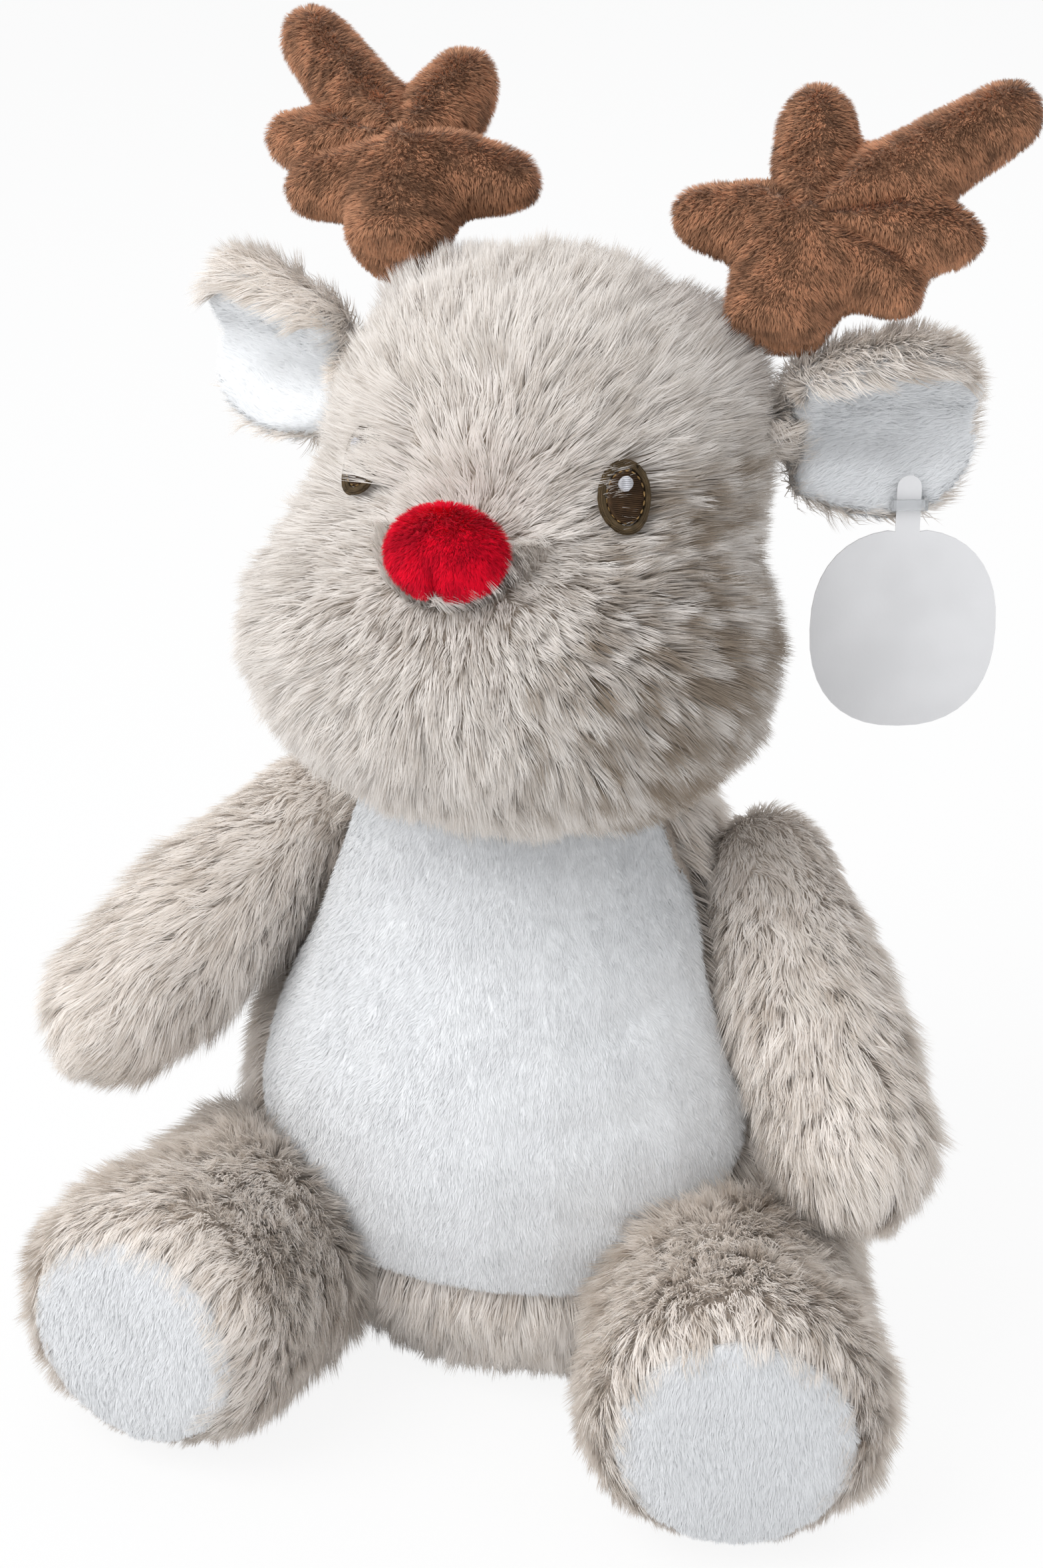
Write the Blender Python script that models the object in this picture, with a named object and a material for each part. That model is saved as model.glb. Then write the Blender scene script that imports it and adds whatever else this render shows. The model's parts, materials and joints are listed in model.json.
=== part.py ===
"""Sitting plush deer: sewn covers over their fillings, with the seams that its soft pieces turn on.

The deer faces -Y, its left is +X, and it sits on the floor at z = 0. Lengths are in metres.
"""
import math

import bmesh
import bpy
import numpy as np
from mathutils import Matrix, Vector

# Fabrics and seams
PILE_FABRIC = 0.0055        # long-pile fabric, backing and brushed pile together
VELOUR_FABRIC = 0.003       # brown velour of the antlers
SHORT_FABRIC = 0.0025       # white short-pile fabric
SEAM_GAP = 0.0003           # between two pieces that touch
SWING_GAP = 0.00045         # between the torso and the legs that turn on it
OVERRUN = 0.02              # how far a cutter runs past what it cuts

# Torso: a belly turned about the hips' cross axis, and a chest that narrows to the neck
BELLY_RADIUS = 0.073
BELLY_HALF_WIDTH = 0.078
BELLY_HEIGHT = 0.057        # of the hips' cross axis over the floor
CHEST_START_HEIGHT = 0.092
NECK_HEIGHT = 0.150
NECK_HALF_WIDTH = 0.043
NECK_HALF_DEPTH = 0.040
CHEST_SWAY = 0.004          # the chest leans this far to the deer's right
SEAT_ROUNDING = 0.003

# Belly panel, seen from the front
PANEL_TOP_HALF_WIDTH = 0.035
PANEL_HALF_WIDTH = 0.062
PANEL_WIDEST_HEIGHT = 0.072
PANEL_FOOT_HALF_WIDTH = 0.030
PANEL_FOOT_HEIGHT = 0.036
PANEL_RECESS = 0.002        # the short pile lies this far under the long pile

# Arms, from the round root in the shoulder to the tip
SHOULDER_SHARE = 0.586      # of the way up from the chest's start to the neck
SHOULDER_HEIGHT = CHEST_START_HEIGHT + SHOULDER_SHARE * (NECK_HEIGHT - CHEST_START_HEIGHT)
SHOULDER_OFFSET = 0.0590    # of the root's middle from the middle of the body
ARM_ROOT_RADIUS = 0.0200
ARM_RADIUS = 0.0225
SOCKET_PLAY = 0.0008        # round the arm's root as it turns
ARM_LEFT_REACH = Vector((0.033, -0.043, -0.048))
ARM_RIGHT_REACH = Vector((-0.033, -0.050, -0.036))
ARM_LEFT_LIFT = math.radians(42)    # from rest, forwards and outwards
ARM_RIGHT_LIFT = math.radians(32)

# Legs, from the hip to the sole
LEG_HALF_WIDTH = 0.038
LEG_HALF_HEIGHT = 0.0365
LEG_FLAT = 0.0005           # how deep the leg is flattened where it lies on the floor
HIP_OFFSET = 0.050
HIP_DEPTH = -0.012
LEG_LENGTH = 0.106
LEG_LEFT_SPLAY = math.radians(17)
LEG_RIGHT_SPLAY = math.radians(9)
SOLE_HALF_WIDTH = 0.0275
SOLE_HALF_HEIGHT = 0.0265
SOLE_DROP = 0.0012          # of the sole's middle under the leg's own
SOLE_DOME = 0.003
SOLE_RECESS = 0.0015
SOLE_BACK_DEPTH = SOLE_RECESS + SOLE_DOME + SHORT_FABRIC    # of the sole's back in the leg

# Head: a skull, a broad muzzle and a nape that run into each other
HEAD_TILT = math.radians(3)     # to the deer's left
HEAD_TURN = math.radians(1)
HEAD_CORE = Vector((0.0, -0.014, 0.060))   # middle of the head over the neck
SKULL_CENTRE = Vector((0.0, 0.000, 0.076))
SKULL_RADII = Vector((0.053, 0.052, 0.048))
MUZZLE_CENTRE = Vector((0.0, -0.028, 0.038))
MUZZLE_RADII = Vector((0.065, 0.053, 0.042))
NAPE_CENTRE = Vector((0.0, 0.003, 0.026))
NAPE_RADII = Vector((0.047, 0.043, 0.040))
LOBE_BLEND = 9              # how sharply the lobes meet, higher is sharper

# Nose
NOSE_RADII = Vector((0.0150, 0.0105, 0.0122))
NOSE_OFFSET = -0.0025       # sewn a little to the deer's right
NOSE_HEIGHT = 0.070         # over the neck
NOSE_PROUD = 0.003          # of the nose's middle over the muzzle

# Eyes, embroidered
EYE_OFFSET = 0.031
EYE_HEIGHT = 0.082
EYE_HALF_WIDTH = 0.0062
EYE_HALF_HEIGHT = 0.0084
EYE_RING = 0.0014           # width of the lighter ring
EYE_THICKNESS = 0.0012
GLINT_RADIUS = 0.0016
GLINT_RISE = 0.0025         # of the glint over the eye's middle

# Ears
EAR_OFFSET = 0.052
EAR_DEPTH = 0.007
EAR_HEIGHT = 0.083
EAR_DIRECTION = Vector((0.76, 0.63, 0.12))
EAR_ROLL = math.radians(14)     # how far the hollow of the ear faces down
EAR_LENGTH = 0.045
EAR_HALF_WIDTH = 0.0240
EAR_CUP = 0.011
EAR_ROOT_RADIUS = 0.0065
LINING_MARGIN = 0.0045
LINING_LIFT = 0.0006

# Antlers
ANTLER_LEFT_OFFSET = 0.0426
ANTLER_RIGHT_OFFSET = 0.0317
ANTLER_DEPTH = 0.005
ANTLER_HEIGHT = 0.106
ANTLER_LEFT_LEAN_BACK = math.radians(36)
ANTLER_RIGHT_LEAN_BACK = math.radians(50)
ANTLER_FACING = math.radians(2)
ANTLER_LEFT_LEAN = math.radians(0)
ANTLER_RIGHT_LEAN = math.radians(-4)
ANTLER_ROOT_RADIUS = 0.0125
ANTLER_ROOT_LIFT = 0.0088       # of the root's middle over the head
ANTLER_PALM = Vector((0.008, 0.0, 0.024))
ANTLER_PALM_RADIUS = 0.0158
ANTLER_TINES = (
    # tip out from the root, tip up from the root, radius at the tip
    (-0.0195, 0.0250, 0.0088),
    (0.0033, 0.0525, 0.0104),
    (0.0476, 0.0600, 0.0098),
    (0.0415, 0.0275, 0.0086),
    (0.0300, 0.0125, 0.0088),
)
ANTLER_FILLING_GAP = 0.0017    # between the filling and the velour
ANTLER_GRID = 0.0033        # mesh size before it is thinned
ANTLER_KEPT_SHARE = 0.30    # of the faces, after thinning

# Tail
TAIL_HEIGHT = 0.040
TAIL_LENGTH = 0.034
TAIL_RADIUS = 0.0125
TAIL_RISE = math.radians(35)

# Hang tag on the left ear
TAG_WIDTH = 0.045
TAG_HEIGHT = 0.050
TAG_SQUARENESS = 0.85
TAG_STANDOFF = 0.0085       # of the card before the middle of the ear's edge
TAG_THICKNESS = 0.0006
TAG_TAB_WIDTH = 0.0058
TAG_TAB_LENGTH = 0.014
TAG_BAND_WALL = 0.0007
TAG_BAND_HEIGHT = 0.0026
TAG_PLAY = 0.0008
TAG_PLACE_SHARE = 0.62      # along the ear from its root
TAG_EDGE_SHARE = -0.78      # down the ear from its middle line
TAG_TURN = math.radians(20)

# Mesh density
BODY_RING_POINTS = 30
BODY_RINGS = 14
LIMB_RING_POINTS = 18
COARSE_RING_POINTS = 12
COARSE_RINGS = 9
HEAD_RING_POINTS = 30
HEAD_RINGS = 17
SOCKET_RING_POINTS = 64


def clear_scene():
    for item in list(bpy.data.objects):
        bpy.data.objects.remove(item, do_unlink=True)


def make_material(name, colour, roughness):
    material = bpy.data.materials.new(name)
    material.use_nodes = True
    shader = material.node_tree.nodes["Principled BSDF"]
    shader.inputs["Base Color"].default_value = (*colour, 1.0)
    shader.inputs["Roughness"].default_value = roughness
    shader.inputs["Metallic"].default_value = 0.0
    return material


def make_object(name, points, faces, material=None, smooth=True, triangles=False):
    """An object with one closed mesh; triangles keeps two nested forms' facets parallel."""
    mesh = bpy.data.meshes.new(name)
    mesh.from_pydata([tuple(point) for point in points], [], faces)
    shape = bmesh.new()
    shape.from_mesh(mesh)
    if triangles:
        bmesh.ops.triangulate(shape, faces=shape.faces, quad_method="FIXED")
    bmesh.ops.recalc_face_normals(shape, faces=shape.faces)
    shape.to_mesh(mesh)
    shape.free()
    if smooth:
        mesh.shade_smooth()
    if material is not None:
        mesh.materials.append(material)
    item = bpy.data.objects.new(name, mesh)
    bpy.context.scene.collection.objects.link(item)
    return item


def make_cutter(item):
    item.hide_render = True
    item.display_type = "WIRE"
    return item


def cut(item, cutter, operation="DIFFERENCE"):
    modifier = item.modifiers.new(f"{operation.title()} {cutter.name}", "BOOLEAN")
    modifier.operation = operation
    modifier.solver = "EXACT"
    modifier.object = cutter


def make_empty(name, matrix):
    empty = bpy.data.objects.new(name, None)
    empty.matrix_world = matrix
    bpy.context.scene.collection.objects.link(empty)
    return empty


def place_under(parent, *items):
    """Hang items, modelled in world space, under a parent without moving them."""
    bpy.context.view_layer.update()
    for item in items:
        item.parent = parent
        item.matrix_parent_inverse = parent.matrix_world.inverted()


def ring(centre, across, up, half_width, half_height, count):
    angles = np.linspace(0.0, 2.0 * math.pi, count, endpoint=False)
    across, up, centre = (np.array(value) for value in (across, up, centre))
    return (centre + np.outer(np.cos(angles) * half_width, across)
            + np.outer(np.sin(angles) * half_height, up))


def loft(rings):
    """Points and faces of a closed form through rings of equal counts, with flat ends."""
    count = len(rings[0])
    points = np.concatenate(rings)
    faces = [tuple(range(count))]
    for level in range(len(rings) - 1):
        first, second = level * count, (level + 1) * count
        for index in range(count):
            following = (index + 1) % count
            faces.append((first + index, first + following, second + following, second + index))
    last = (len(rings) - 1) * count
    faces.append(tuple(range(last, last + count)))
    return points, faces


def dome_shares(count):
    """Shares of a round end's length and of its radius, from its foot to just short of its tip."""
    angles = np.linspace(0.0, 0.5 * math.pi, count + 2)[1:-1]
    return [(math.sin(angle), math.cos(angle)) for angle in angles] + [(1.0, math.cos(angles[-1]) / 3)]


# Torso

def torso_size(height):
    """Half-width, half-depth and sideways shift of the torso's surface at a height."""
    rise = height - BELLY_HEIGHT
    turned = math.sqrt(max(0.0, 1.0 - (rise / BELLY_RADIUS) ** 2))
    if height <= CHEST_START_HEIGHT:
        return BELLY_HALF_WIDTH * turned, BELLY_RADIUS * turned, 0.0
    start_rise = CHEST_START_HEIGHT - BELLY_HEIGHT
    start = math.sqrt(1.0 - (start_rise / BELLY_RADIUS) ** 2)
    slope = -start_rise / (BELLY_RADIUS ** 2 * start)
    span = NECK_HEIGHT - CHEST_START_HEIGHT
    share = (height - CHEST_START_HEIGHT) / span
    sizes = []
    for belly, neck in ((BELLY_HALF_WIDTH, NECK_HALF_WIDTH), (BELLY_RADIUS, NECK_HALF_DEPTH)):
        leaving, arriving = belly * slope * span, (neck - belly * start) / 2
        sizes.append((2 * share ** 3 - 3 * share ** 2 + 1) * belly * start
                     + (share ** 3 - 2 * share ** 2 + share) * leaving
                     + (3 * share ** 2 - 2 * share ** 3) * neck
                     + (share ** 3 - share ** 2) * arriving)
    return sizes[0], sizes[1], -CHEST_SWAY * (3 * share ** 2 - 2 * share ** 3)


def torso_form(name, inset, top, count, levels, material=None):
    """The torso's form, drawn in by the inset all round and flat at the seat and at the top."""
    rings = []
    bottom = inset
    heights = [bottom, bottom + SEAT_ROUNDING]
    heights += list(np.linspace(bottom + SEAT_ROUNDING, NECK_HEIGHT, levels)[1:])
    if top > NECK_HEIGHT:
        heights.append(top)
    for level, height in enumerate(heights):
        half_width, half_depth, shift = torso_size(min(height, NECK_HEIGHT))
        draw_in = inset + (SEAT_ROUNDING if level == 0 else 0.0)
        rings.append(ring((shift, 0.0, height), (1, 0, 0), (0, 1, 0),
                          half_width - draw_in, half_depth - draw_in, count))
    if top < NECK_HEIGHT:
        rings[-1][:, 2] = top
    return make_object(name, *loft(rings), material)


def panel_outline(margin):
    """The belly panel's outline from the front, grown by the margin, as (x, z) points."""
    side_shares = (
        # share of the half-width between foot and widest, share of the height up to widest
        (0.00, 0.00), (0.30, 0.12), (0.62, 0.34), (0.86, 0.62), (0.97, 0.86),
    )
    spread = PANEL_HALF_WIDTH - PANEL_FOOT_HALF_WIDTH
    rise = PANEL_WIDEST_HEIGHT - PANEL_FOOT_HEIGHT
    right = [(PANEL_FOOT_HALF_WIDTH + out * spread, PANEL_FOOT_HEIGHT + up * rise)
             for out, up in side_shares]
    narrowing = PANEL_HALF_WIDTH - PANEL_TOP_HALF_WIDTH
    top = NECK_HEIGHT + OVERRUN
    for share in np.linspace(0.0, 1.0, 9):
        ease = 0.5 - 0.5 * math.cos(math.pi * min(1.0, share * 1.1))
        right.append((PANEL_HALF_WIDTH - narrowing * ease,
                      PANEL_WIDEST_HEIGHT + share * (top - PANEL_WIDEST_HEIGHT)))
    outline = right + [(-x, z) for x, z in reversed(right)]
    outline = [(x + torso_size(min(z, NECK_HEIGHT))[2], z) for x, z in outline]
    grown = []
    for index, (x, z) in enumerate(outline):
        before, after = outline[index - 1], outline[(index + 1) % len(outline)]
        along = Vector((after[0] - before[0], after[1] - before[1])).normalized()
        grown.append((x + along.y * margin, z - along.x * margin))
    return grown


def panel_prism(name, margin):
    """A prism through the torso's front, with the belly panel's outline."""
    outline = panel_outline(margin)
    front = [(x, -BELLY_RADIUS - OVERRUN, z) for x, z in outline]
    middle = [(x, 0.0, z) for x, z in outline]
    return make_cutter(make_object(name, *loft([front, middle]), smooth=False))


def plane_block(name, centre, facing, reach):
    """A block whose one face lies on a plane and which fills the side that the plane faces."""
    across = facing.orthogonal().normalized()
    up = facing.cross(across)
    near = ring(centre, across, up, reach, reach, 4)
    far = ring(centre + facing * reach, across, up, reach, reach, 4)
    return make_cutter(make_object(name, *loft([near, far]), smooth=False))


def build_torso(materials):
    cover = torso_form("torso_cover", 0.0, NECK_HEIGHT, BODY_RING_POINTS, BODY_RINGS, materials["fur"])
    cavity = make_cutter(torso_form("torso cavity", PILE_FABRIC, NECK_HEIGHT + OVERRUN, COARSE_RING_POINTS + 6,
                                     COARSE_RINGS))
    panel = torso_form("belly_panel", PANEL_RECESS, NECK_HEIGHT, BODY_RING_POINTS, BODY_RINGS,
                       materials["white plush"])
    panel_back = make_cutter(torso_form("belly panel back", PANEL_RECESS + SHORT_FABRIC,
                                        NECK_HEIGHT + OVERRUN, BODY_RING_POINTS, BODY_RINGS))
    filling = torso_form("torso_filling", PILE_FABRIC + SEAM_GAP, NECK_HEIGHT, COARSE_RING_POINTS + 6,
                         COARSE_RINGS, materials["filling"])
    cut(cover, cavity)
    cut(cover, panel_prism("belly window", SEAM_GAP))
    cut(panel, panel_back)
    cut(panel, panel_prism("belly outline", 0.0), "INTERSECT")
    return cover, panel, filling


# Limbs

def limb_form(name, start, along, across, stations, inset, count, material=None):
    """A stuffed limb along a line: stations give the distance, half-width and half-height."""
    up = along.cross(across)
    rings = []
    for distance, half_width, half_height, drop in stations:
        centre = start + along * distance - up * drop
        rings.append(ring(centre, across, up, max(half_width - inset, inset / 3),
                          max(half_height - inset, inset / 3), count))
    return make_object(name, *loft(rings), material)


def arm_stations(length, inset):
    """Stations from the round root to the round tip."""
    swelling_shares = ((0.3, 0.96), (0.65, 1.0), (1.0, 0.93))
    stations = []
    for out, size in reversed(dome_shares(4)):
        stations.append((-out * (ARM_ROOT_RADIUS - inset), size * ARM_ROOT_RADIUS + inset * (1 - size)))
    stations.append((0.0, ARM_ROOT_RADIUS))
    for share, size in swelling_shares:
        stations.append((share * length, size * ARM_RADIUS))
    tip = swelling_shares[-1][1] * ARM_RADIUS
    for out, size in dome_shares(4):
        stations.append((length + out * (tip - inset), size * tip + inset * (1 - size)))
    return [(distance, size, size, 0) for distance, size in stations]


def build_arm(side, word, reach, lift, torso, materials):
    """An arm whose round root sits in a socket of the torso, and the room that it takes at rest."""
    root = Vector((side * SHOULDER_OFFSET - CHEST_SWAY / 2, 0.0, SHOULDER_HEIGHT))
    along, length = reach.normalized(), reach.length
    across = along.cross(Vector((0, 1, 0))).normalized()

    def form(name, inset, count, material=None):
        return limb_form(name, root, along, across, arm_stations(length, inset), inset, count, material)

    cover = form(f"arm_cover_{word}", 0.0, LIMB_RING_POINTS, materials["fur"])
    cavity = make_cutter(form(f"{word} arm cavity", PILE_FABRIC, COARSE_RING_POINTS))
    opening = ball(f"{word} arm opening", root - along * (ARM_ROOT_RADIUS - PILE_FABRIC / 2), ARM_ROOT_RADIUS / 2)
    filling = form(f"arm_filling_{word}", PILE_FABRIC + SEAM_GAP, COARSE_RING_POINTS, materials["filling"])
    cut(cover, cavity)
    cut(cover, opening)
    cut(filling, opening)
    cutters = [ball(f"{word} arm socket", root, ARM_ROOT_RADIUS + SOCKET_PLAY, LIMB_RING_POINTS)]
    axis = Vector((reach.y, -reach.x, 0.0))
    for share in (0.0, 0.5, 1.0):
        room = make_cutter(form(f"{word} arm room at {share:.0%} of its lift", -SWING_GAP, LIMB_RING_POINTS))
        room.matrix_world = (Matrix.Translation(root) @ Matrix.Rotation(share * lift, 4, axis)
                             @ Matrix.Translation(-root))
        cutters.append(room)
    for item in torso:
        for cutter in cutters:
            cut(item, cutter)
    hinge = make_empty(f"{word} shoulder", Matrix.Translation(root))
    place_under(hinge, cover, filling)
    return cutters[1]


def leg_stations(inset, opening):
    """Stations from the round hip to the rim round the sole, or past it for the opening."""
    swelling_shares = (
        # share of the length, of the half-width and of the half-height, and how far it rests on the floor
        (0.00, 0.92, 0.93, 1.0), (0.25, 0.92, 0.93, 1.0), (0.42, 0.90, 0.93, 1.0), (0.60, 0.92, 0.95, 1.0),
        (0.76, 0.98, 0.98, 1.0), (0.87, 1.00, 0.99, 0.8), (0.95, 0.96, 0.93, 0.2), (1.00, 0.85, 0.82, 0.0),
    )
    stations = []
    hip_width, hip_height = (size * half for size, half in
                             zip(swelling_shares[0][1:3], (LEG_HALF_WIDTH, LEG_HALF_HEIGHT)))
    for out, size in reversed(dome_shares(4)):
        stations.append([-out * (hip_height - inset), size * hip_width + inset * (1 - size),
                         size * hip_height + inset * (1 - size), LEG_HALF_HEIGHT - hip_height])
    for along, wide, high, rest in swelling_shares:
        half_height = high * LEG_HALF_HEIGHT
        stations.append([along * LEG_LENGTH, wide * LEG_HALF_WIDTH, half_height,
                         rest * (LEG_HALF_HEIGHT - half_height)])
    if inset:
        rim = [SOLE_HALF_WIDTH + PILE_FABRIC, SOLE_HALF_HEIGHT + PILE_FABRIC, SOLE_DROP]
        back = LEG_LENGTH - SOLE_BACK_DEPTH - SEAM_GAP
        stations[-2] = [back - PILE_FABRIC / 2, *rim]
        stations[-1] = [LEG_LENGTH + OVERRUN if opening else back, *rim]
    return stations


def build_sole(word, start, along, across, material):
    """A domed pad that closes the end of the leg, inside the rim of pile."""
    up = along.cross(across)
    centre = start + along * (LEG_LENGTH - SOLE_RECESS) - up * SOLE_DROP
    half_width, half_height = SOLE_HALF_WIDTH - SEAM_GAP, SOLE_HALF_HEIGHT - SEAM_GAP
    rings = []
    for out, size in ((0.0, 0.35), (0.0, 1.0), (0.0, 1.0), (0.35, 0.93), (0.7, 0.75), (0.93, 0.45), (1.0, 0.15)):
        depth = SOLE_DOME * (out - 1.0)
        if not rings or len(rings) == 1:
            depth -= SHORT_FABRIC
        rings.append(ring(centre + along * depth, across, up, half_width * size, half_height * size,
                          LIMB_RING_POINTS - 2))
    return make_object(f"sole_{word}", *loft(rings), material)


def belly_socket(name):
    """The belly's turned form with the swing gap round it, turned about the hips' cross axis."""
    radius, half_width = BELLY_RADIUS + SWING_GAP, BELLY_HALF_WIDTH + SWING_GAP
    rings = []
    for angle in np.linspace(-0.5, 0.5, SOCKET_RING_POINTS // 2 + 1)[1:-1] * math.pi:
        rings.append(ring((half_width * math.sin(angle), 0.0, BELLY_HEIGHT), (0, 1, 0), (0, 0, 1),
                          radius * math.cos(angle), radius * math.cos(angle),
                          SOCKET_RING_POINTS))
    return make_cutter(make_object(name, *loft(rings)))


def build_leg(side, word, splay, cutters, materials):
    start = Vector((side * HIP_OFFSET, HIP_DEPTH, LEG_HALF_HEIGHT - LEG_FLAT))
    along = Vector((side * math.sin(splay), -math.cos(splay), 0.0))
    across = Vector((0, 0, 1)).cross(along)

    def form(name, inset, count, opening, material=None):
        return limb_form(name, start, along, across, leg_stations(inset, opening), inset, count, material)

    cover = form(f"leg_cover_{word}", 0.0, LIMB_RING_POINTS + 2, False, materials["fur"])
    cavity = make_cutter(form(f"{word} leg cavity", PILE_FABRIC, LIMB_RING_POINTS - 2, True))
    filling = form(f"leg_filling_{word}", PILE_FABRIC + SEAM_GAP, LIMB_RING_POINTS - 2, False, materials["filling"])
    sole = build_sole(word, start, along, across, materials["white plush"])
    cut(cover, cavity)
    for item in (cover, filling):
        for cutter in cutters:
            cut(item, cutter)
    hinge = make_empty(f"{word} hip", Matrix.Translation((0.0, 0.0, BELLY_HEIGHT)))
    place_under(hinge, cover, filling, sole)


# Head

def lobe_distance(core, direction, centre, radii):
    """Distance from the core to a lobe's surface along a direction."""
    scaled = [direction[axis] / radii[axis] for axis in range(3)]
    offset = [(core[axis] - centre[axis]) / radii[axis] for axis in range(3)]
    square = sum(value * value for value in scaled)
    cross = sum(one * other for one, other in zip(scaled, offset))
    rest = sum(value * value for value in offset) - 1.0
    return max(0.0, -cross + math.sqrt(max(0.0, cross * cross - square * rest))) / square


def head_distance(direction, inset=0.0):
    """Distance from the head's core to its surface along a direction, drawn in by the inset."""
    drawn = Vector((inset, inset, inset))
    lobes = ((SKULL_CENTRE, SKULL_RADII), (MUZZLE_CENTRE, MUZZLE_RADII), (NAPE_CENTRE, NAPE_RADII))
    parts = [lobe_distance(HEAD_CORE, direction, centre, radii - drawn) for centre, radii in lobes]
    return sum(part ** LOBE_BLEND for part in parts) ** (1.0 / LOBE_BLEND)


def head_point(direction, lift=0.0, inset=0.0):
    direction = direction.normalized()
    return HEAD_CORE + direction * (head_distance(direction, inset) + lift)


def head_normal(direction):
    """The way that the head's surface faces along a direction from the core."""
    direction = direction.normalized()
    across = direction.orthogonal().normalized()
    up = direction.cross(across)
    step = 0.01
    first = head_point(direction + across * step) - head_point(direction - across * step)
    second = head_point(direction + up * step) - head_point(direction - up * step)
    return first.cross(second).normalized()


def head_direction(x, z):
    """Direction from the core to the place on the front of the head seen at (x, z)."""
    depth = MUZZLE_CENTRE.y - MUZZLE_RADII.y
    for _ in range(12):
        direction = Vector((x, depth, z)) - HEAD_CORE
        depth = head_point(direction).y * 0.5 + depth * 0.5
    return direction.normalized()


def head_frame():
    """The neck's place, tilted and turned as the head sits on it."""
    return (Matrix.Translation((-CHEST_SWAY, 0.0, NECK_HEIGHT))
            @ Matrix.Rotation(HEAD_TURN, 4, "Z") @ Matrix.Rotation(HEAD_TILT, 4, "Y"))


def head_form(name, inset, count, levels, material=None):
    rings = []
    for angle in np.linspace(0.0, math.pi, levels + 2)[1:-1]:
        points = []
        for turn in np.linspace(0.0, 2 * math.pi, count, endpoint=False):
            direction = Vector((math.sin(angle) * math.cos(turn), math.sin(angle) * math.sin(turn),
                                math.cos(angle)))
            points.append(head_point(direction, inset=inset))
        rings.append(np.array(points))
    item = make_object(name, *loft(rings), material, triangles=True)
    item.matrix_world = head_frame()
    return item


def build_head(materials):
    cover = head_form("head_cover", 0.0, HEAD_RING_POINTS, HEAD_RINGS, materials["fur"])
    coarse = (COARSE_RING_POINTS + 6, COARSE_RINGS + 2)
    cavity = make_cutter(head_form("head cavity", PILE_FABRIC, *coarse))
    filling = head_form("head_filling", PILE_FABRIC + SEAM_GAP, *coarse, materials["filling"])
    neck = Vector((-CHEST_SWAY, 0.0, NECK_HEIGHT + SEAM_GAP))
    under = plane_block("under the neck", neck, Vector((0, 0, -1)), BELLY_RADIUS + OVERRUN)
    cut(cover, cavity)
    for item in (cover, filling):
        cut(item, under)
    return cover, filling


def build_nose(skin, material):
    """A padded nose, hollowed behind to sit on the muzzle."""
    direction = head_direction(NOSE_OFFSET, NOSE_HEIGHT)
    centre = head_point(direction, NOSE_PROUD)
    facing = head_normal(direction)
    across = Vector((1, 0, 0))
    up = across.cross(facing) * -1
    rings = []
    for angle in np.linspace(0.0, math.pi, 11)[1:-1]:
        middle = centre + facing * math.cos(angle) * NOSE_RADII.y
        rings.append(ring(middle, across, up, math.sin(angle) * NOSE_RADII.x,
                          math.sin(angle) * NOSE_RADII.z, LIMB_RING_POINTS))
    nose = make_object("nose", *loft(rings), material)
    nose.matrix_world = head_frame()
    cut(nose, skin)
    return nose


def head_patch(name, x, z, half_width, half_height, bottom, top, count, material, hole=0.0):
    """An oval patch that follows the head's surface, between two heights over it."""
    middle = head_direction(x, z)
    facing = head_normal(middle)
    across = Vector((0, 0, 1)).cross(facing).normalized()
    up = facing.cross(across)
    centre = head_point(middle)
    rims = [(hole, bottom), (1.0, bottom), (1.0, (bottom + 2 * top) / 3), (0.93, top), (hole, top)]
    if hole:
        rims.append(rims[0])
    else:
        rims[0], rims[-1] = (0.3, bottom), (0.3, top)
    rings = []
    for share, lift in rims:
        points = []
        for place in ring(centre, across, up, half_width * share, half_height * share, count):
            points.append(head_point(Vector(place) - HEAD_CORE, lift))
        rings.append(np.array(points))
    points, faces = loft(rings)
    if hole:
        faces = faces[1:-1]
    item = make_object(name, points, faces, material)
    if hole:
        shape = bmesh.new()
        shape.from_mesh(item.data)
        bmesh.ops.remove_doubles(shape, verts=shape.verts, dist=SEAM_GAP / 30)
        bmesh.ops.recalc_face_normals(shape, faces=shape.faces)
        shape.to_mesh(item.data)
        shape.free()
    item.matrix_world = head_frame()
    return item


def build_eye(side, word, skin, materials):
    """Iris, ring and glint: raised stitching that lies on the skin."""
    ring_share = 1.0 - EYE_RING / EYE_HALF_WIDTH
    bottom, top = -EYE_THICKNESS, SEAM_GAP + EYE_THICKNESS
    place = (side * EYE_OFFSET, EYE_HEIGHT)
    ring_patch = head_patch(f"eye_ring_{word}", *place, EYE_HALF_WIDTH, EYE_HALF_HEIGHT, bottom, top,
                            LIMB_RING_POINTS, materials["gold thread"], ring_share)
    iris = head_patch(f"eye_{word}", *place, EYE_HALF_WIDTH * ring_share - SEAM_GAP,
                      EYE_HALF_HEIGHT * ring_share - SEAM_GAP, bottom, top, LIMB_RING_POINTS,
                      materials["dark thread"])
    glint = head_patch(f"eye_glint_{word}", place[0] - GLINT_RADIUS / 2, place[1] + GLINT_RISE,
                       GLINT_RADIUS, GLINT_RADIUS, top + SEAM_GAP, top + EYE_THICKNESS,
                       COARSE_RING_POINTS, materials["white thread"])
    for item in (ring_patch, iris):
        cut(item, skin)
    return [ring_patch, iris, glint]


# Ears

def mirrored(vector, side):
    return Vector((vector.x * side, vector.y, vector.z))


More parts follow.
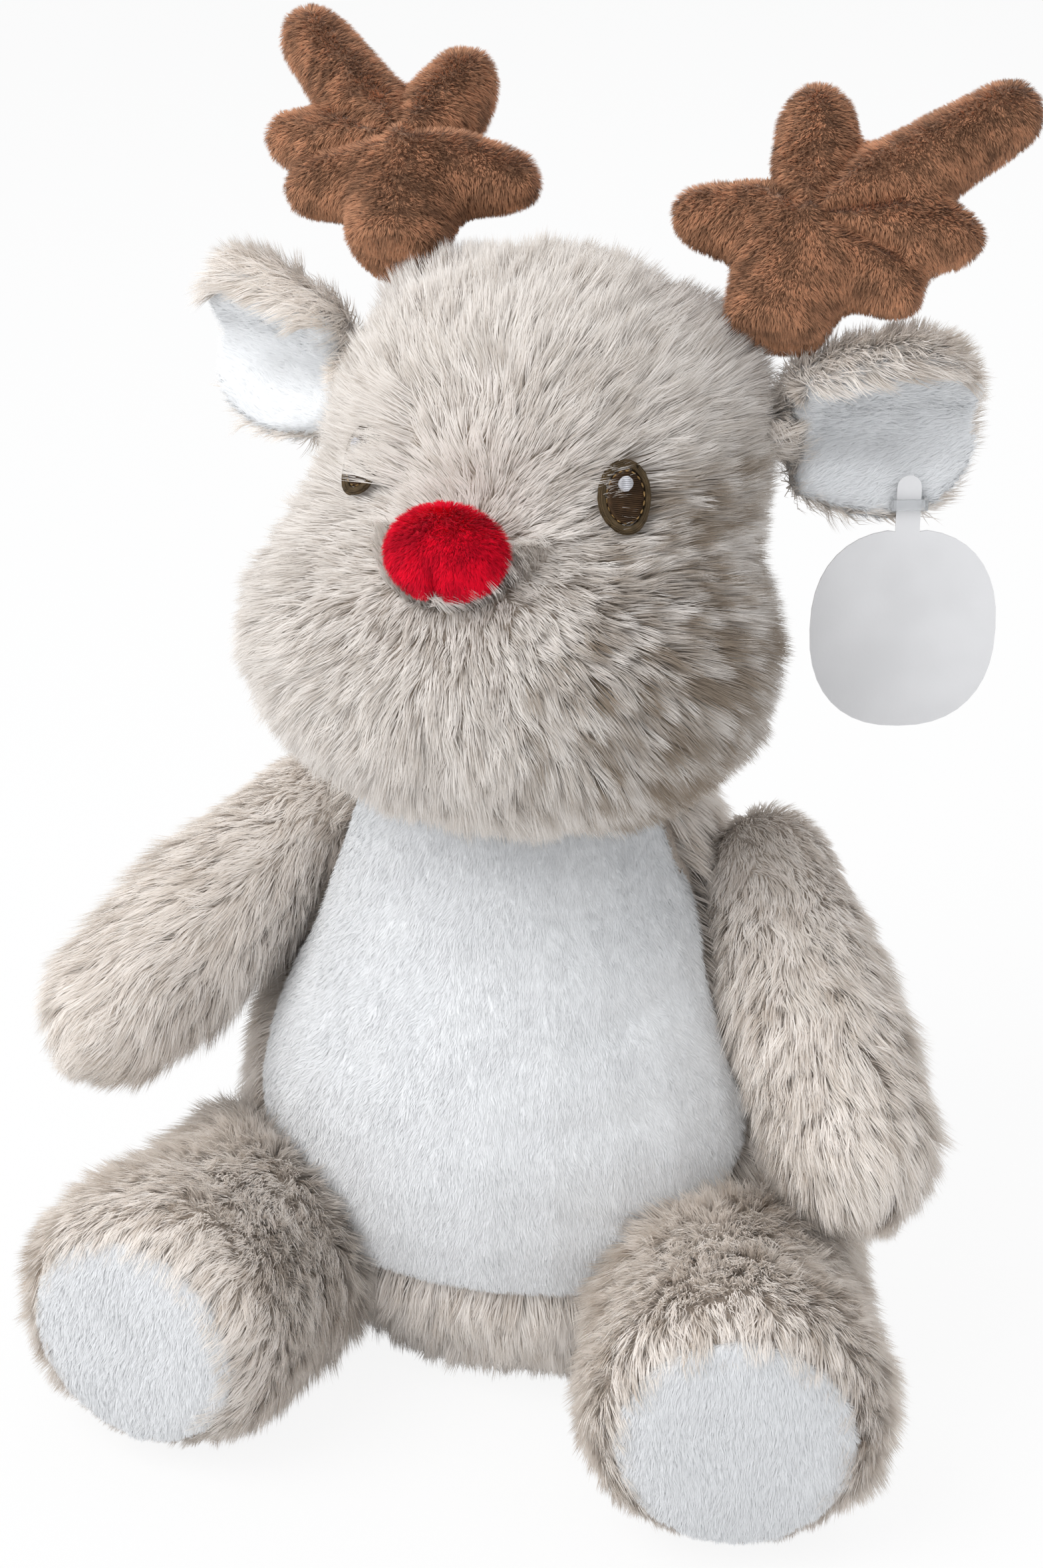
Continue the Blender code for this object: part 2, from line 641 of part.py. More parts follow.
def ear_axes(side):
    """Root, length, width and facing directions of an ear, in the head's frame."""
    length = mirrored(EAR_DIRECTION, side).normalized()
    front = Vector((0, -1, 0))
    facing = (front - length * front.dot(length)).normalized()
    facing = Matrix.Rotation(side * EAR_ROLL, 3, length) @ facing
    width = facing.cross(length).normalized() * side
    if width.z < 0:
        width = -width
    aim = Vector((side * EAR_OFFSET, EAR_DEPTH, EAR_HEIGHT)) - HEAD_CORE
    root = head_point(aim, EAR_ROOT_RADIUS / 2)
    return root, length, width, facing


def ear_half_width(share):
    """Half-width of the ear along its length: narrow at the root, full, and round at the tip."""
    width_shares = ((0.0, 0.70), (0.12, 0.82), (0.28, 0.94), (0.45, 1.0), (0.60, 1.0),
                    (0.75, 0.92), (0.88, 0.73), (0.96, 0.46), (1.0, 0.16))
    places, widths = zip(*width_shares)
    return float(np.interp(share, places, widths)) * EAR_HALF_WIDTH


def ear_place(axes, along, across, lift, margin=0.0):
    """A point of the ear: shares of its length and half-width, and a height over its hollow."""
    root, length, width, facing = axes
    reach = max(ear_half_width(along) - margin, margin / 3)
    cup = EAR_CUP * (across * reach / EAR_HALF_WIDTH) ** 2 - EAR_CUP * 0.5 * (1.0 - along)
    curl = EAR_CUP * 0.5 * along * along
    return (root + length * (EAR_ROOT_RADIUS * 0.6 + along * EAR_LENGTH) + width * across * reach
            + facing * (cup + curl + lift))


def ear_sheet(name, axes, starts, ends, margin, low, high, material):
    """A leaf-shaped sheet of fabric between two heights over the hollow of the ear."""
    lengths = starts + (ends - starts) * np.sin(np.linspace(0.0, 0.5 * math.pi, 10))
    widths = np.linspace(-1.0, 1.0, 9)
    points, faces = [], []
    for lift in (low, high):
        for along in lengths:
            for across in widths:
                points.append(ear_place(axes, along, across, lift, margin))
    columns, size = len(widths), len(lengths) * len(widths)
    for row in range(len(lengths) - 1):
        for column in range(columns - 1):
            corner = row * columns + column
            quad = (corner, corner + 1, corner + columns + 1, corner + columns)
            faces.append(quad)
            faces.append(tuple(size + index for index in reversed(quad)))
    edge = list(range(columns))
    edge += [row * columns + columns - 1 for row in range(1, len(lengths))]
    edge += [size - 1 - index for index in range(1, columns)]
    edge += [row * columns for row in range(len(lengths) - 2, 0, -1)]
    for index, point in enumerate(edge):
        following = edge[(index + 1) % len(edge)]
        faces.append((following, point, size + point, size + following))
    return make_object(name, points, faces, material)


def ball(name, centre, radius, count=12):
    shape = bmesh.new()
    bmesh.ops.create_uvsphere(shape, u_segments=count, v_segments=count // 2 + 2, radius=radius)
    mesh = bpy.data.meshes.new(name)
    shape.to_mesh(mesh)
    shape.free()
    item = bpy.data.objects.new(name, mesh)
    item.location = centre
    bpy.context.scene.collection.objects.link(item)
    return make_cutter(item)


def in_head(item):
    """Carry an object modelled in the head's frame to its place."""
    item.matrix_world = head_frame() @ item.matrix_basis
    return item


def build_ear(side, word, heads, materials):
    axes = ear_axes(side)
    root = axes[0]
    back = in_head(ear_sheet(f"ear_back_{word}", axes, 0.0, 1.0, 0.0, -PILE_FABRIC, 0.0, materials["fur"]))
    lining = in_head(ear_sheet(f"ear_lining_{word}", axes, 0.06, 0.955, LINING_MARGIN, LINING_LIFT,
                               LINING_LIFT + SHORT_FABRIC, materials["white plush"]))
    middle = root - axes[3] * EAR_CUP * 0.5
    cut(back, in_head(ball(f"{word} ear root", middle, EAR_ROOT_RADIUS)), "UNION")
    dimple = in_head(ball(f"{word} ear seat", middle, EAR_ROOT_RADIUS + SWING_GAP, 14))
    for item in heads:
        cut(item, dimple)
    hinge = make_empty(f"{word} ear hinge", head_frame() @ Matrix.Translation(middle))
    place_under(hinge, back, lining)
    return axes, hinge


# Antlers

def antler_frame(side):
    """The antler's root and the way that it stands, in world space."""
    offset, lean_back, lean = ((ANTLER_LEFT_OFFSET, ANTLER_LEFT_LEAN_BACK, ANTLER_LEFT_LEAN) if side > 0
                               else (ANTLER_RIGHT_OFFSET, ANTLER_RIGHT_LEAN_BACK, ANTLER_RIGHT_LEAN))
    aim = Vector((side * offset, ANTLER_DEPTH, ANTLER_HEIGHT)) - HEAD_CORE
    root = head_point(aim, ANTLER_ROOT_LIFT)
    return (head_frame() @ Matrix.Translation(root)
            @ Matrix.Rotation(-lean_back, 4, "X")
            @ Matrix.Rotation(side * ANTLER_FACING, 4, "Z")
            @ Matrix.Rotation(side * lean, 4, "Y"))


def capsule_points(first, second, first_radius, second_radius, count):
    """Rings of a rounded bar from one ball to another."""
    along = (second - first).normalized()
    across = along.orthogonal().normalized()
    up = along.cross(across)
    rings = []
    for out, size in reversed(dome_shares(3)):
        rings.append(ring(first - along * out * first_radius, across, up, size * first_radius,
                          size * first_radius, count))
    rings.append(ring(first, across, up, first_radius, first_radius, count))
    rings.append(ring(second, across, up, second_radius, second_radius, count))
    for out, size in dome_shares(3):
        rings.append(ring(second + along * out * second_radius, across, up, size * second_radius,
                          size * second_radius, count))
    return rings


def antler_form(name, side, inset, kept_share, opening=0.0, material=None):
    """Round tines grown together over the palm, drawn in by the inset and lengthened at the root."""
    palm = mirrored(ANTLER_PALM, side)
    root = Vector((0, 0, -opening))
    bars = [(root, palm, ANTLER_ROOT_RADIUS, ANTLER_PALM_RADIUS)]
    for out, up, radius in ANTLER_TINES:
        bars.append((palm, Vector((side * out, 0, up)), ANTLER_PALM_RADIUS * 0.86, radius))
    points, faces = [], []
    for first, second, first_radius, second_radius in bars:
        more, quads = loft(capsule_points(first, second, first_radius - inset, second_radius - inset, 14))
        faces += [tuple(index + len(points) for index in quad) for quad in quads]
        points += list(more)
    item = make_object(name, points, faces, material)
    remesh = item.modifiers.new("Sewn surface", "REMESH")
    remesh.mode = "VOXEL"
    remesh.voxel_size = ANTLER_GRID
    remesh.use_smooth_shade = True
    smooth = item.modifiers.new("Soft creases", "SMOOTH")
    smooth.factor = 0.5
    smooth.iterations = 2
    thin = item.modifiers.new("Thinned", "DECIMATE")
    thin.ratio = kept_share
    return item


def build_antler(side, word, heads, materials):
    frame = antler_frame(side)
    coarse = ANTLER_KEPT_SHARE / 2
    cover = antler_form(f"antler_cover_{word}", side, 0.0, ANTLER_KEPT_SHARE, 0.0, materials["velour"])
    cavity = make_cutter(antler_form(f"{word} antler cavity", side, VELOUR_FABRIC, coarse,
                                     ANTLER_ROOT_RADIUS))
    filling = antler_form(f"antler_filling_{word}", side, VELOUR_FABRIC, coarse, ANTLER_ROOT_RADIUS,
                          materials["filling"])
    drawn_in = filling.modifiers.new("Room in the cover", "DISPLACE")
    drawn_in.mid_level = 0.0
    drawn_in.strength = -ANTLER_FILLING_GAP
    below = plane_block(f"under the {word} antler's filling", Vector((0, 0, 0)), Vector((0, 0, -1)),
                        2 * ANTLER_ROOT_RADIUS)
    cut(filling, below)
    for item in (cover, cavity, filling, below):
        item.matrix_world = frame
    cut(cover, cavity)
    seat = ball(f"{word} antler seat", (0, 0, 0), ANTLER_ROOT_RADIUS + SWING_GAP, 16)
    seat.matrix_world = frame
    for item in heads:
        cut(item, seat)
    hinge = make_empty(f"{word} antler hinge", frame)
    place_under(hinge, cover, filling)
    return hinge


# Tail

def build_tail(socket, material):
    """A short padded tail, sewn to the middle of the back."""
    along = Vector((0.0, math.cos(TAIL_RISE), math.sin(TAIL_RISE)))
    drop = TAIL_HEIGHT - BELLY_HEIGHT
    start = Vector((0.0, math.sqrt(BELLY_RADIUS ** 2 - drop ** 2) - TAIL_RADIUS, TAIL_HEIGHT))
    across = Vector((1, 0, 0))
    swelling_shares = ((0.0, 0.85), (0.35, 0.95), (0.62, 1.0))
    stations = [(share * TAIL_LENGTH, size * TAIL_RADIUS) for share, size in swelling_shares]
    reach = TAIL_LENGTH - stations[-1][0]
    stations += [(TAIL_LENGTH - reach * (1 - out), size * TAIL_RADIUS) for out, size in dome_shares(3)]
    tail = limb_form("tail", start, along, across, [(place, size, size * 0.8, 0) for place, size in stations],
                     0.0, COARSE_RING_POINTS, material)
    cut(tail, socket)
    return tail


# Hang tag

def rounded_outline(half_width, half_height, count):
    """A broad oval, squarer than an ellipse, as (across, up) points from its top."""
    outline = []
    for angle in np.linspace(0.0, 2.0 * math.pi, count, endpoint=False):
        across, up = math.sin(angle), math.cos(angle)
        outline.append((half_width * math.copysign(abs(across) ** TAG_SQUARENESS, across),
                        half_height * math.copysign(abs(up) ** TAG_SQUARENESS, up)))
    return outline


def tag_outline():
    """The card and its tab, hung from the band at the middle of the tab, as (across, up) points."""
    half_tab = TAG_TAB_WIDTH / 2
    middle = -TAG_TAB_LENGTH / 2 - TAG_HEIGHT / 2 + TAG_THICKNESS
    card = [(across, middle + up) for across, up in rounded_outline(TAG_WIDTH / 2, TAG_HEIGHT / 2, 40)]
    card = [place for place in card if abs(place[0]) > half_tab or place[1] < middle]
    card = [place for place in card if place[0] > 0 or place[1] < middle] + [
        place for place in card if place[0] <= 0 and place[1] >= middle]
    top = TAG_TAB_LENGTH / 2 - half_tab
    tab = [(-half_tab, -TAG_TAB_LENGTH / 2), (-half_tab, top)]
    for angle in np.linspace(math.pi, 0.0, 8)[1:-1]:
        tab.append((half_tab * math.cos(angle), top + half_tab * math.sin(angle)))
    tab += [(half_tab, top), (half_tab, -TAG_TAB_LENGTH / 2)]
    return tab + card


def build_tag(axes, materials):
    """A card whose tab hangs in a clear plastic band at the lower edge of the ear."""
    edge = head_frame() @ ear_place(axes, TAG_PLACE_SHARE, TAG_EDGE_SHARE, -PILE_FABRIC / 2)
    place = (Matrix.Translation(edge) @ Matrix.Rotation(TAG_TURN, 4, "Z")
             @ Matrix.Translation((0, -TAG_STANDOFF, 0)))
    outline = tag_outline()
    front = [(across, -TAG_THICKNESS / 2, up) for across, up in outline]
    back = [(across, TAG_THICKNESS / 2, up) for across, up in outline]
    card = make_object("tag_card", *loft([front, back]), materials["card"], smooth=False)
    card.matrix_world = place
    inner = (TAG_TAB_WIDTH / 2 + TAG_PLAY, TAG_THICKNESS / 2 + TAG_PLAY, TAG_STANDOFF / 2)
    outer = (inner[0] + TAG_BAND_WALL, inner[1] + TAG_BAND_WALL, TAG_STANDOFF)
    levels = []
    for (half, front, back), height in ((outer, -0.5), (outer, 0.5), (inner, 0.5), (inner, -0.5)):
        levels.append([(-half, -front, height * TAG_BAND_HEIGHT), (half, -front, height * TAG_BAND_HEIGHT),
                       (half, back, height * TAG_BAND_HEIGHT), (-half, back, height * TAG_BAND_HEIGHT)])
    points, faces = loft(levels)
    faces = faces[1:-1] + [(index, (index + 1) % 4, 12 + (index + 1) % 4, 12 + index) for index in range(4)]
    band = make_object("tag_band", points, faces, materials["clear plastic"], smooth=False)
    band.matrix_world = place
    ear = in_head(ear_sheet("ear behind the band", axes, 0.0, 1.0, 0.0, -PILE_FABRIC,
                            LINING_LIFT + SHORT_FABRIC + SEAM_GAP, None))
    cut(band, make_cutter(ear))
    return card, band


def main():
    clear_scene()
    materials = {
        "fur": make_material("Long pile", (0.62, 0.53, 0.45), 0.95),
        "white plush": make_material("White short pile", (0.88, 0.88, 0.87), 0.9),
        "velour": make_material("Brown velour", (0.22, 0.12, 0.07), 0.85),
        "red plush": make_material("Red short pile", (0.62, 0.01, 0.03), 0.85),
        "filling": make_material("Polyester filling", (0.9, 0.9, 0.88), 1.0),
        "dark thread": make_material("Dark brown thread", (0.05, 0.03, 0.015), 0.5),
        "gold thread": make_material("Gold brown thread", (0.20, 0.11, 0.03), 0.5),
        "white thread": make_material("White thread", (0.85, 0.85, 0.85), 0.5),
        "card": make_material("Card", (0.70, 0.70, 0.70), 0.7),
        "clear plastic": make_material("Clear plastic", (0.80, 0.80, 0.82), 0.2),
    }
    torso = build_torso(materials)
    left_arm_room = build_arm(1, "left", ARM_LEFT_REACH, ARM_LEFT_LIFT, torso, materials)
    build_arm(-1, "right", ARM_RIGHT_REACH, ARM_RIGHT_LIFT, torso, materials)
    socket = belly_socket("belly in the legs")
    floor = plane_block("floor", Vector((0, 0, 0)), Vector((0, 0, -1)), 4 * BELLY_RADIUS)
    build_leg(1, "left", LEG_LEFT_SPLAY, (socket, floor, left_arm_room), materials)
    build_leg(-1, "right", LEG_RIGHT_SPLAY, (socket, floor), materials)
    heads = build_head(materials)
    skin = make_cutter(head_form("muzzle under the nose", -SEAM_GAP, HEAD_RING_POINTS, HEAD_RINGS))
    on_head = [*heads, build_nose(skin, materials["red plush"])]
    for side, word in ((1, "left"), (-1, "right")):
        on_head += build_eye(side, word, skin, materials)
    hinges = []
    for side, word in ((1, "left"), (-1, "right")):
        axes, hinge = build_ear(side, word, heads, materials)
        hinges.append(hinge)
        hinges.append(build_antler(side, word, heads, materials))
        if side > 0:
            card, band = build_tag(axes, materials)
            place_under(hinges[-2], band)
            tag_hinge = make_empty("tag hinge", card.matrix_world)
            place_under(tag_hinge, card)
            place_under(hinges[-2], tag_hinge)
    build_tail(socket, materials["fur"])
    neck = make_empty("neck", Matrix.Translation((-CHEST_SWAY, 0.0, NECK_HEIGHT)))
    place_under(neck, *on_head, *hinges)


main()
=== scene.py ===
import json
import math

import bmesh
import bpy
import numpy as np
from bpy.props import FloatProperty, FloatVectorProperty, IntProperty, PointerProperty
from bpy.types import Operator, Panel, PropertyGroup
from mathutils import Matrix, Vector, noise
from mathutils.bvhtree import BVHTree
from mathutils.kdtree import KDTree


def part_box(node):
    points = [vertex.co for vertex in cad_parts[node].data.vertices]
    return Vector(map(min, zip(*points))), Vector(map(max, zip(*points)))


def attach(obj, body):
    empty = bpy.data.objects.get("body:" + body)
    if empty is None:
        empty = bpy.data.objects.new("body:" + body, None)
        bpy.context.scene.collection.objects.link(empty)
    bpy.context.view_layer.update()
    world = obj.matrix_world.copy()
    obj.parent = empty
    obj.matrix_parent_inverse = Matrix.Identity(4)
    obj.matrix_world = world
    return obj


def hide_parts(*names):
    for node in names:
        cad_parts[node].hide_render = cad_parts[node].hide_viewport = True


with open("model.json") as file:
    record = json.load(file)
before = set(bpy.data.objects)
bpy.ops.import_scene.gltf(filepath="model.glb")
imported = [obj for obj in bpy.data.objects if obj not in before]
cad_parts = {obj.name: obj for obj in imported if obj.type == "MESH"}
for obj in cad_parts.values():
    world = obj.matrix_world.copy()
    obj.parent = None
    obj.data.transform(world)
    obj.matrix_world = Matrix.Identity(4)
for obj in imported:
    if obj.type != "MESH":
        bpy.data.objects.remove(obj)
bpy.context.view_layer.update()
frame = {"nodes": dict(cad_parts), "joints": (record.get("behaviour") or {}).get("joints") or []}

bl_info = {
    "name": "Sitting plush deer",
    "version": (1, 0, 0),
    "blender": (4, 5, 0),
    "location": "3D View > Sidebar > Plush deer",
    "description": "Padded skins, long and short pile, stitched eyes and hang tag of a sitting plush deer",
    "category": "Object",
}

JOINTS = {joint["name"]: joint for joint in frame["joints"]}
SIDES = ((1, "left"), (-1, "right"))
PILE_UV = "OFBake"


# Sizes and colours

class DeerSizes(PropertyGroup):
    """Lengths and counts of the pile, the padding and the stitches."""
    pile_length: FloatProperty(name="Long pile", description="Length of a long fibre", default=0.0110, unit="LENGTH")
    pile_width: FloatProperty(name="Long fibre width", description="Width of a bundle of long fibres at its root",
                              default=0.00030, unit="LENGTH")
    pile_lean: FloatProperty(name="Long pile lean", description="Angle between a long fibre and the fabric's normal",
                             default=math.radians(58), unit="ROTATION")
    pile_density: FloatProperty(name="Long pile density", description="Long fibres on a square millimetre",
                                default=4.2)
    short_length: FloatProperty(name="Short pile", description="Length of a short fibre", default=0.0024,
                                unit="LENGTH")
    short_density: FloatProperty(name="Short pile density", description="Short fibres on a square millimetre",
                                 default=9.0)
    velour_length: FloatProperty(name="Velour pile", description="Length of a velour fibre", default=0.0021,
                                 unit="LENGTH")
    tuft_size: IntProperty(name="Fibres in a tuft", description="Long fibres whose tips lean together", default=20)
    thread_radius: FloatProperty(name="Thread radius", description="Radius of a stitched thread", default=0.00020,
                                 unit="LENGTH")
    padding_frames: IntProperty(name="Padding frames", description="Steps of the padding simulation", default=20)
    padding_pressure: FloatProperty(name="Padding pressure", description="Pressure of the filling", default=4.0)


class DeerColours(PropertyGroup):
    """Colours of the fabrics, threads and card."""
    pile_tip: FloatVectorProperty(name="Pile tips", description="Cream ends of the long pile", subtype="COLOR",
                                  size=3, default=(0.95, 0.905, 0.86))
    pile_root: FloatVectorProperty(name="Pile roots", description="Taupe roots of the long pile", subtype="COLOR",
                                   size=3, default=(0.54, 0.448, 0.358))
    # Painted shade: the long pile's partings take this colour, darker than the taupe roots, in place of the shade deep
    # in the pile.
    pile_roots_in_shade: FloatVectorProperty(name="Pile partings in painted shade", description="Dark taupe seen where the long pile parts",
                                   subtype="COLOR", size=3, default=(0.29, 0.218, 0.150))
    backing: FloatVectorProperty(name="Backing", description="Knitted backing under the long pile", subtype="COLOR",
                                 size=3, default=(0.66, 0.58, 0.51))
    white_pile: FloatVectorProperty(name="White pile", description="Belly, soles and ear linings", subtype="COLOR",
                                    size=3, default=(0.87, 0.88, 0.89))
    antler_brown: FloatVectorProperty(name="Antler velour", description="Brown velour of the antlers",
                                      subtype="COLOR", size=3, default=(0.30, 0.155, 0.088))
    nose_red: FloatVectorProperty(name="Nose plush", description="Red short pile of the nose", subtype="COLOR",
                                  size=3, default=(0.74, 0.002, 0.028))
    eye_brown: FloatVectorProperty(name="Eye thread", description="Dark brown thread of the eyes", subtype="COLOR",
                                   size=3, default=(0.075, 0.040, 0.018))
    ring_brown: FloatVectorProperty(name="Ring thread", description="Olive-brown thread round the eyes",
                                    subtype="COLOR", size=3, default=(0.105, 0.070, 0.034))
    ring_gold: FloatVectorProperty(name="Gold thread", description="Gold stitches on the inner edge of the rings",
                                   subtype="COLOR", size=3, default=(0.36, 0.22, 0.085))
    card_grey: FloatVectorProperty(name="Tag card", description="Blank card of the hang tag", subtype="COLOR",
                                   size=3, default=(0.74, 0.74, 0.75))


# Node helpers

def new_material(name):
    """An empty material with a Principled shader that feeds its output."""
    material = bpy.data.materials.new(name)
    material.use_nodes = True
    tree = material.node_tree
    tree.nodes.clear()
    output = tree.nodes.new("ShaderNodeOutputMaterial")
    shader = tree.nodes.new("ShaderNodeBsdfPrincipled")
    tree.links.new(shader.outputs["BSDF"], output.inputs["Surface"])
    return material, tree, shader


def new_group(name, inputs, outputs):
    """An empty shader group with named sockets."""
    group = bpy.data.node_groups.new(name, "ShaderNodeTree")
    for kind, label, value in inputs:
        socket = group.interface.new_socket(name=label, in_out="INPUT", socket_type=kind)
        if value is not None:
            socket.default_value = value
    for kind, label in outputs:
        group.interface.new_socket(name=label, in_out="OUTPUT", socket_type=kind)
    start = group.nodes.new("NodeGroupInput")
    end = group.nodes.new("NodeGroupOutput")
    return group, start, end


def colour4(colour, share=1.0):
    return (colour[0] * share, colour[1] * share, colour[2] * share, 1.0)


def node(tree, kind, **values):
    """A shader node whose sockets get the values that are given by name."""
    made = tree.nodes.new(kind)
    for label, value in values.items():
        label = label.replace("_", " ")
        if label in made.inputs:
            made.inputs[label].default_value = value
        else:
            setattr(made, label.replace(" ", "_"), value)
    return made


def mixed(tree, factor, first, second, blend="MIX"):
    """A colour mix. Each of factor, first and second is a socket or a value."""
    mix = tree.nodes.new("ShaderNodeMix")
    mix.data_type = "RGBA"
    mix.blend_type = blend
    for socket, value in ((mix.inputs[0], factor), (mix.inputs[6], first), (mix.inputs[7], second)):
        if isinstance(value, bpy.types.NodeSocket):
            tree.links.new(value, socket)
        else:
            socket.default_value = value
    return mix.outputs[2]


def mapped(tree, value, low, high, to_low=0.0, to_high=1.0, smooth=True):
    made = tree.nodes.new("ShaderNodeMapRange")
    made.interpolation_type = "SMOOTHSTEP" if smooth else "LINEAR"
    made.inputs["From Min"].default_value = low
    made.inputs["From Max"].default_value = high
    made.inputs["To Min"].default_value = to_low
    made.inputs["To Max"].default_value = to_high
    tree.links.new(value, made.inputs["Value"])
    return made.outputs["Result"]


def pile_group():
    """Colour of a long fibre from its own length and shade."""
    group, start, end = new_group(
        "Two-tone pile",
        [("NodeSocketColor", "Root", (0.3, 0.2, 0.15, 1)), ("NodeSocketColor", "Tip", (0.8, 0.7, 0.6, 1)),
         ("NodeSocketColor", "Deep", (0.2, 0.15, 0.1, 1)), ("NodeSocketFloat", "Mottle", 0.35)],
        [("NodeSocketColor", "Colour"), ("NodeSocketFloat", "Height")])
    place = node(group, "ShaderNodeUVMap", uv_map=PILE_UV)
    split = group.nodes.new("ShaderNodeSeparateXYZ")
    group.links.new(place.outputs["UV"], split.inputs["Vector"])
    along = mapped(group, split.outputs["Y"], 0.0, 0.32)
    fade = mixed(group, along, start.outputs["Root"], start.outputs["Tip"])
    shade = mapped(group, split.outputs["X"], 0.0, 1.0, 0.0, 1.0, smooth=False)
    dark = group.nodes.new("ShaderNodeMath")
    dark.operation = "MULTIPLY"
    group.links.new(start.outputs["Mottle"], dark.inputs[0])
    inverse = group.nodes.new("ShaderNodeMath")
    inverse.operation = "SUBTRACT"
    inverse.inputs[0].default_value = 1.0
    group.links.new(shade, inverse.inputs[1])
    group.links.new(inverse.outputs[0], dark.inputs[1])
    # Where the shade value is low the Deep colour is mixed in: painted shade in the long pile's partings and in the ear
    # linings' fold, elsewhere a darker tone at random.
    final = mixed(group, dark.outputs[0], fade, start.outputs["Deep"])
    group.links.new(final, end.inputs["Colour"])
    group.links.new(along, end.inputs["Height"])
    return group


def nap_group():
    """Uneven nap of a short pile: brushed patches, fibre grain and a fine height."""
    group, start, end = new_group(
        "Brushed nap",
        [("NodeSocketColor", "Colour", (0.8, 0.8, 0.8, 1)), ("NodeSocketColor", "Shade", (0.5, 0.5, 0.5, 1)),
         ("NodeSocketFloat", "Patch Scale", 60.0), ("NodeSocketFloat", "Grain Scale", 1400.0),
         ("NodeSocketFloat", "Unevenness", 0.5)],
        [("NodeSocketColor", "Colour"), ("NodeSocketFloat", "Height")])
    place = group.nodes.new("ShaderNodeTexCoord")
    patch = node(group, "ShaderNodeTexNoise", Detail=3.0, Roughness=0.55)
    grain = node(group, "ShaderNodeTexNoise", Detail=2.0, Roughness=0.6)
    for texture, label in ((patch, "Patch Scale"), (grain, "Grain Scale")):
        group.links.new(place.outputs["Object"], texture.inputs["Vector"])
        group.links.new(start.outputs[label], texture.inputs["Scale"])
    worn = mapped(group, patch.outputs["Fac"], 0.35, 0.68)
    fine = mapped(group, grain.outputs["Fac"], 0.3, 0.7)
    both = group.nodes.new("ShaderNodeMath")
    both.operation = "MULTIPLY_ADD"
    both.inputs[1].default_value = 0.55
    group.links.new(worn, both.inputs[0])
    half = group.nodes.new("ShaderNodeMath")
    half.operation = "MULTIPLY"
    half.inputs[1].default_value = 0.45
    group.links.new(fine, half.inputs[0])
    group.links.new(half.outputs[0], both.inputs[2])
    amount = group.nodes.new("ShaderNodeMath")
    amount.operation = "MULTIPLY"
    group.links.new(both.outputs[0], amount.inputs[0])
    group.links.new(start.outputs["Unevenness"], amount.inputs[1])
    group.links.new(mixed(group, amount.outputs[0], start.outputs["Colour"], start.outputs["Shade"]),
                    end.inputs["Colour"])
    group.links.new(grain.outputs["Fac"], end.inputs["Height"])
    return group


def shared_group(name):
    """A shared node group, made on first use."""
    makers = {"Two-tone pile": pile_group, "Brushed nap": nap_group}
    return bpy.data.node_groups.get(name) or makers[name]()


def pile_material(name, root, tip, deep, mottle, through=0.35, roughness=0.8, sheen=0.15):
    """Fibres whose colour runs from root to tip."""
    found = bpy.data.materials.get(name)
    if found:
        return found
    material, tree, shader = new_material(name)
    group = tree.nodes.new("ShaderNodeGroup")
    group.node_tree = shared_group("Two-tone pile")
    group.inputs["Root"].default_value = colour4(root)
    group.inputs["Tip"].default_value = colour4(tip)
    group.inputs["Deep"].default_value = colour4(deep)
    group.inputs["Mottle"].default_value = mottle
    tree.links.new(group.outputs["Colour"], shader.inputs["Base Color"])
    thin = tree.nodes.new("ShaderNodeBsdfTranslucent")
    tree.links.new(group.outputs["Colour"], thin.inputs["Color"])
    both = tree.nodes.new("ShaderNodeMixShader")
    both.inputs[0].default_value = through
    tree.links.new(shader.outputs["BSDF"], both.inputs[1])
    tree.links.new(thin.outputs["BSDF"], both.inputs[2])
    tree.links.new(both.outputs["Shader"], tree.nodes["Material Output"].inputs["Surface"])
    shader.inputs["Roughness"].default_value = roughness
    shader.inputs["Specular IOR Level"].default_value = 0.2
    shader.inputs["Sheen Weight"].default_value = sheen
    shader.inputs["Sheen Roughness"].default_value = 0.5
    return material


def nap_material(name, colour, shade, patch_scale, grain_scale, unevenness, bump, roughness=0.85, sheen=0.3):
    """Short pile or knitted backing with brushed patches and a fibre grain."""
    found = bpy.data.materials.get(name)
    if found:
        return found
    material, tree, shader = new_material(name)
    group = tree.nodes.new("ShaderNodeGroup")
    group.node_tree = shared_group("Brushed nap")
    group.inputs["Colour"].default_value = colour4(colour)
    group.inputs["Shade"].default_value = colour4(shade)
    group.inputs["Patch Scale"].default_value = patch_scale
    group.inputs["Grain Scale"].default_value = grain_scale
    group.inputs["Unevenness"].default_value = unevenness
    tree.links.new(group.outputs["Colour"], shader.inputs["Base Color"])
    relief = tree.nodes.new("ShaderNodeBump")
    relief.inputs["Strength"].default_value = bump
    relief.inputs["Distance"].default_value = 0.0006
    tree.links.new(group.outputs["Height"], relief.inputs["Height"])
    tree.links.new(relief.outputs["Normal"], shader.inputs["Normal"])
    shader.inputs["Roughness"].default_value = roughness
    shader.inputs["Specular IOR Level"].default_value = 0.2
    shader.inputs["Sheen Weight"].default_value = sheen
    shader.inputs["Sheen Roughness"].default_value = 0.5
    return material


def darker(colour, share):
    return tuple(part * share for part in colour)


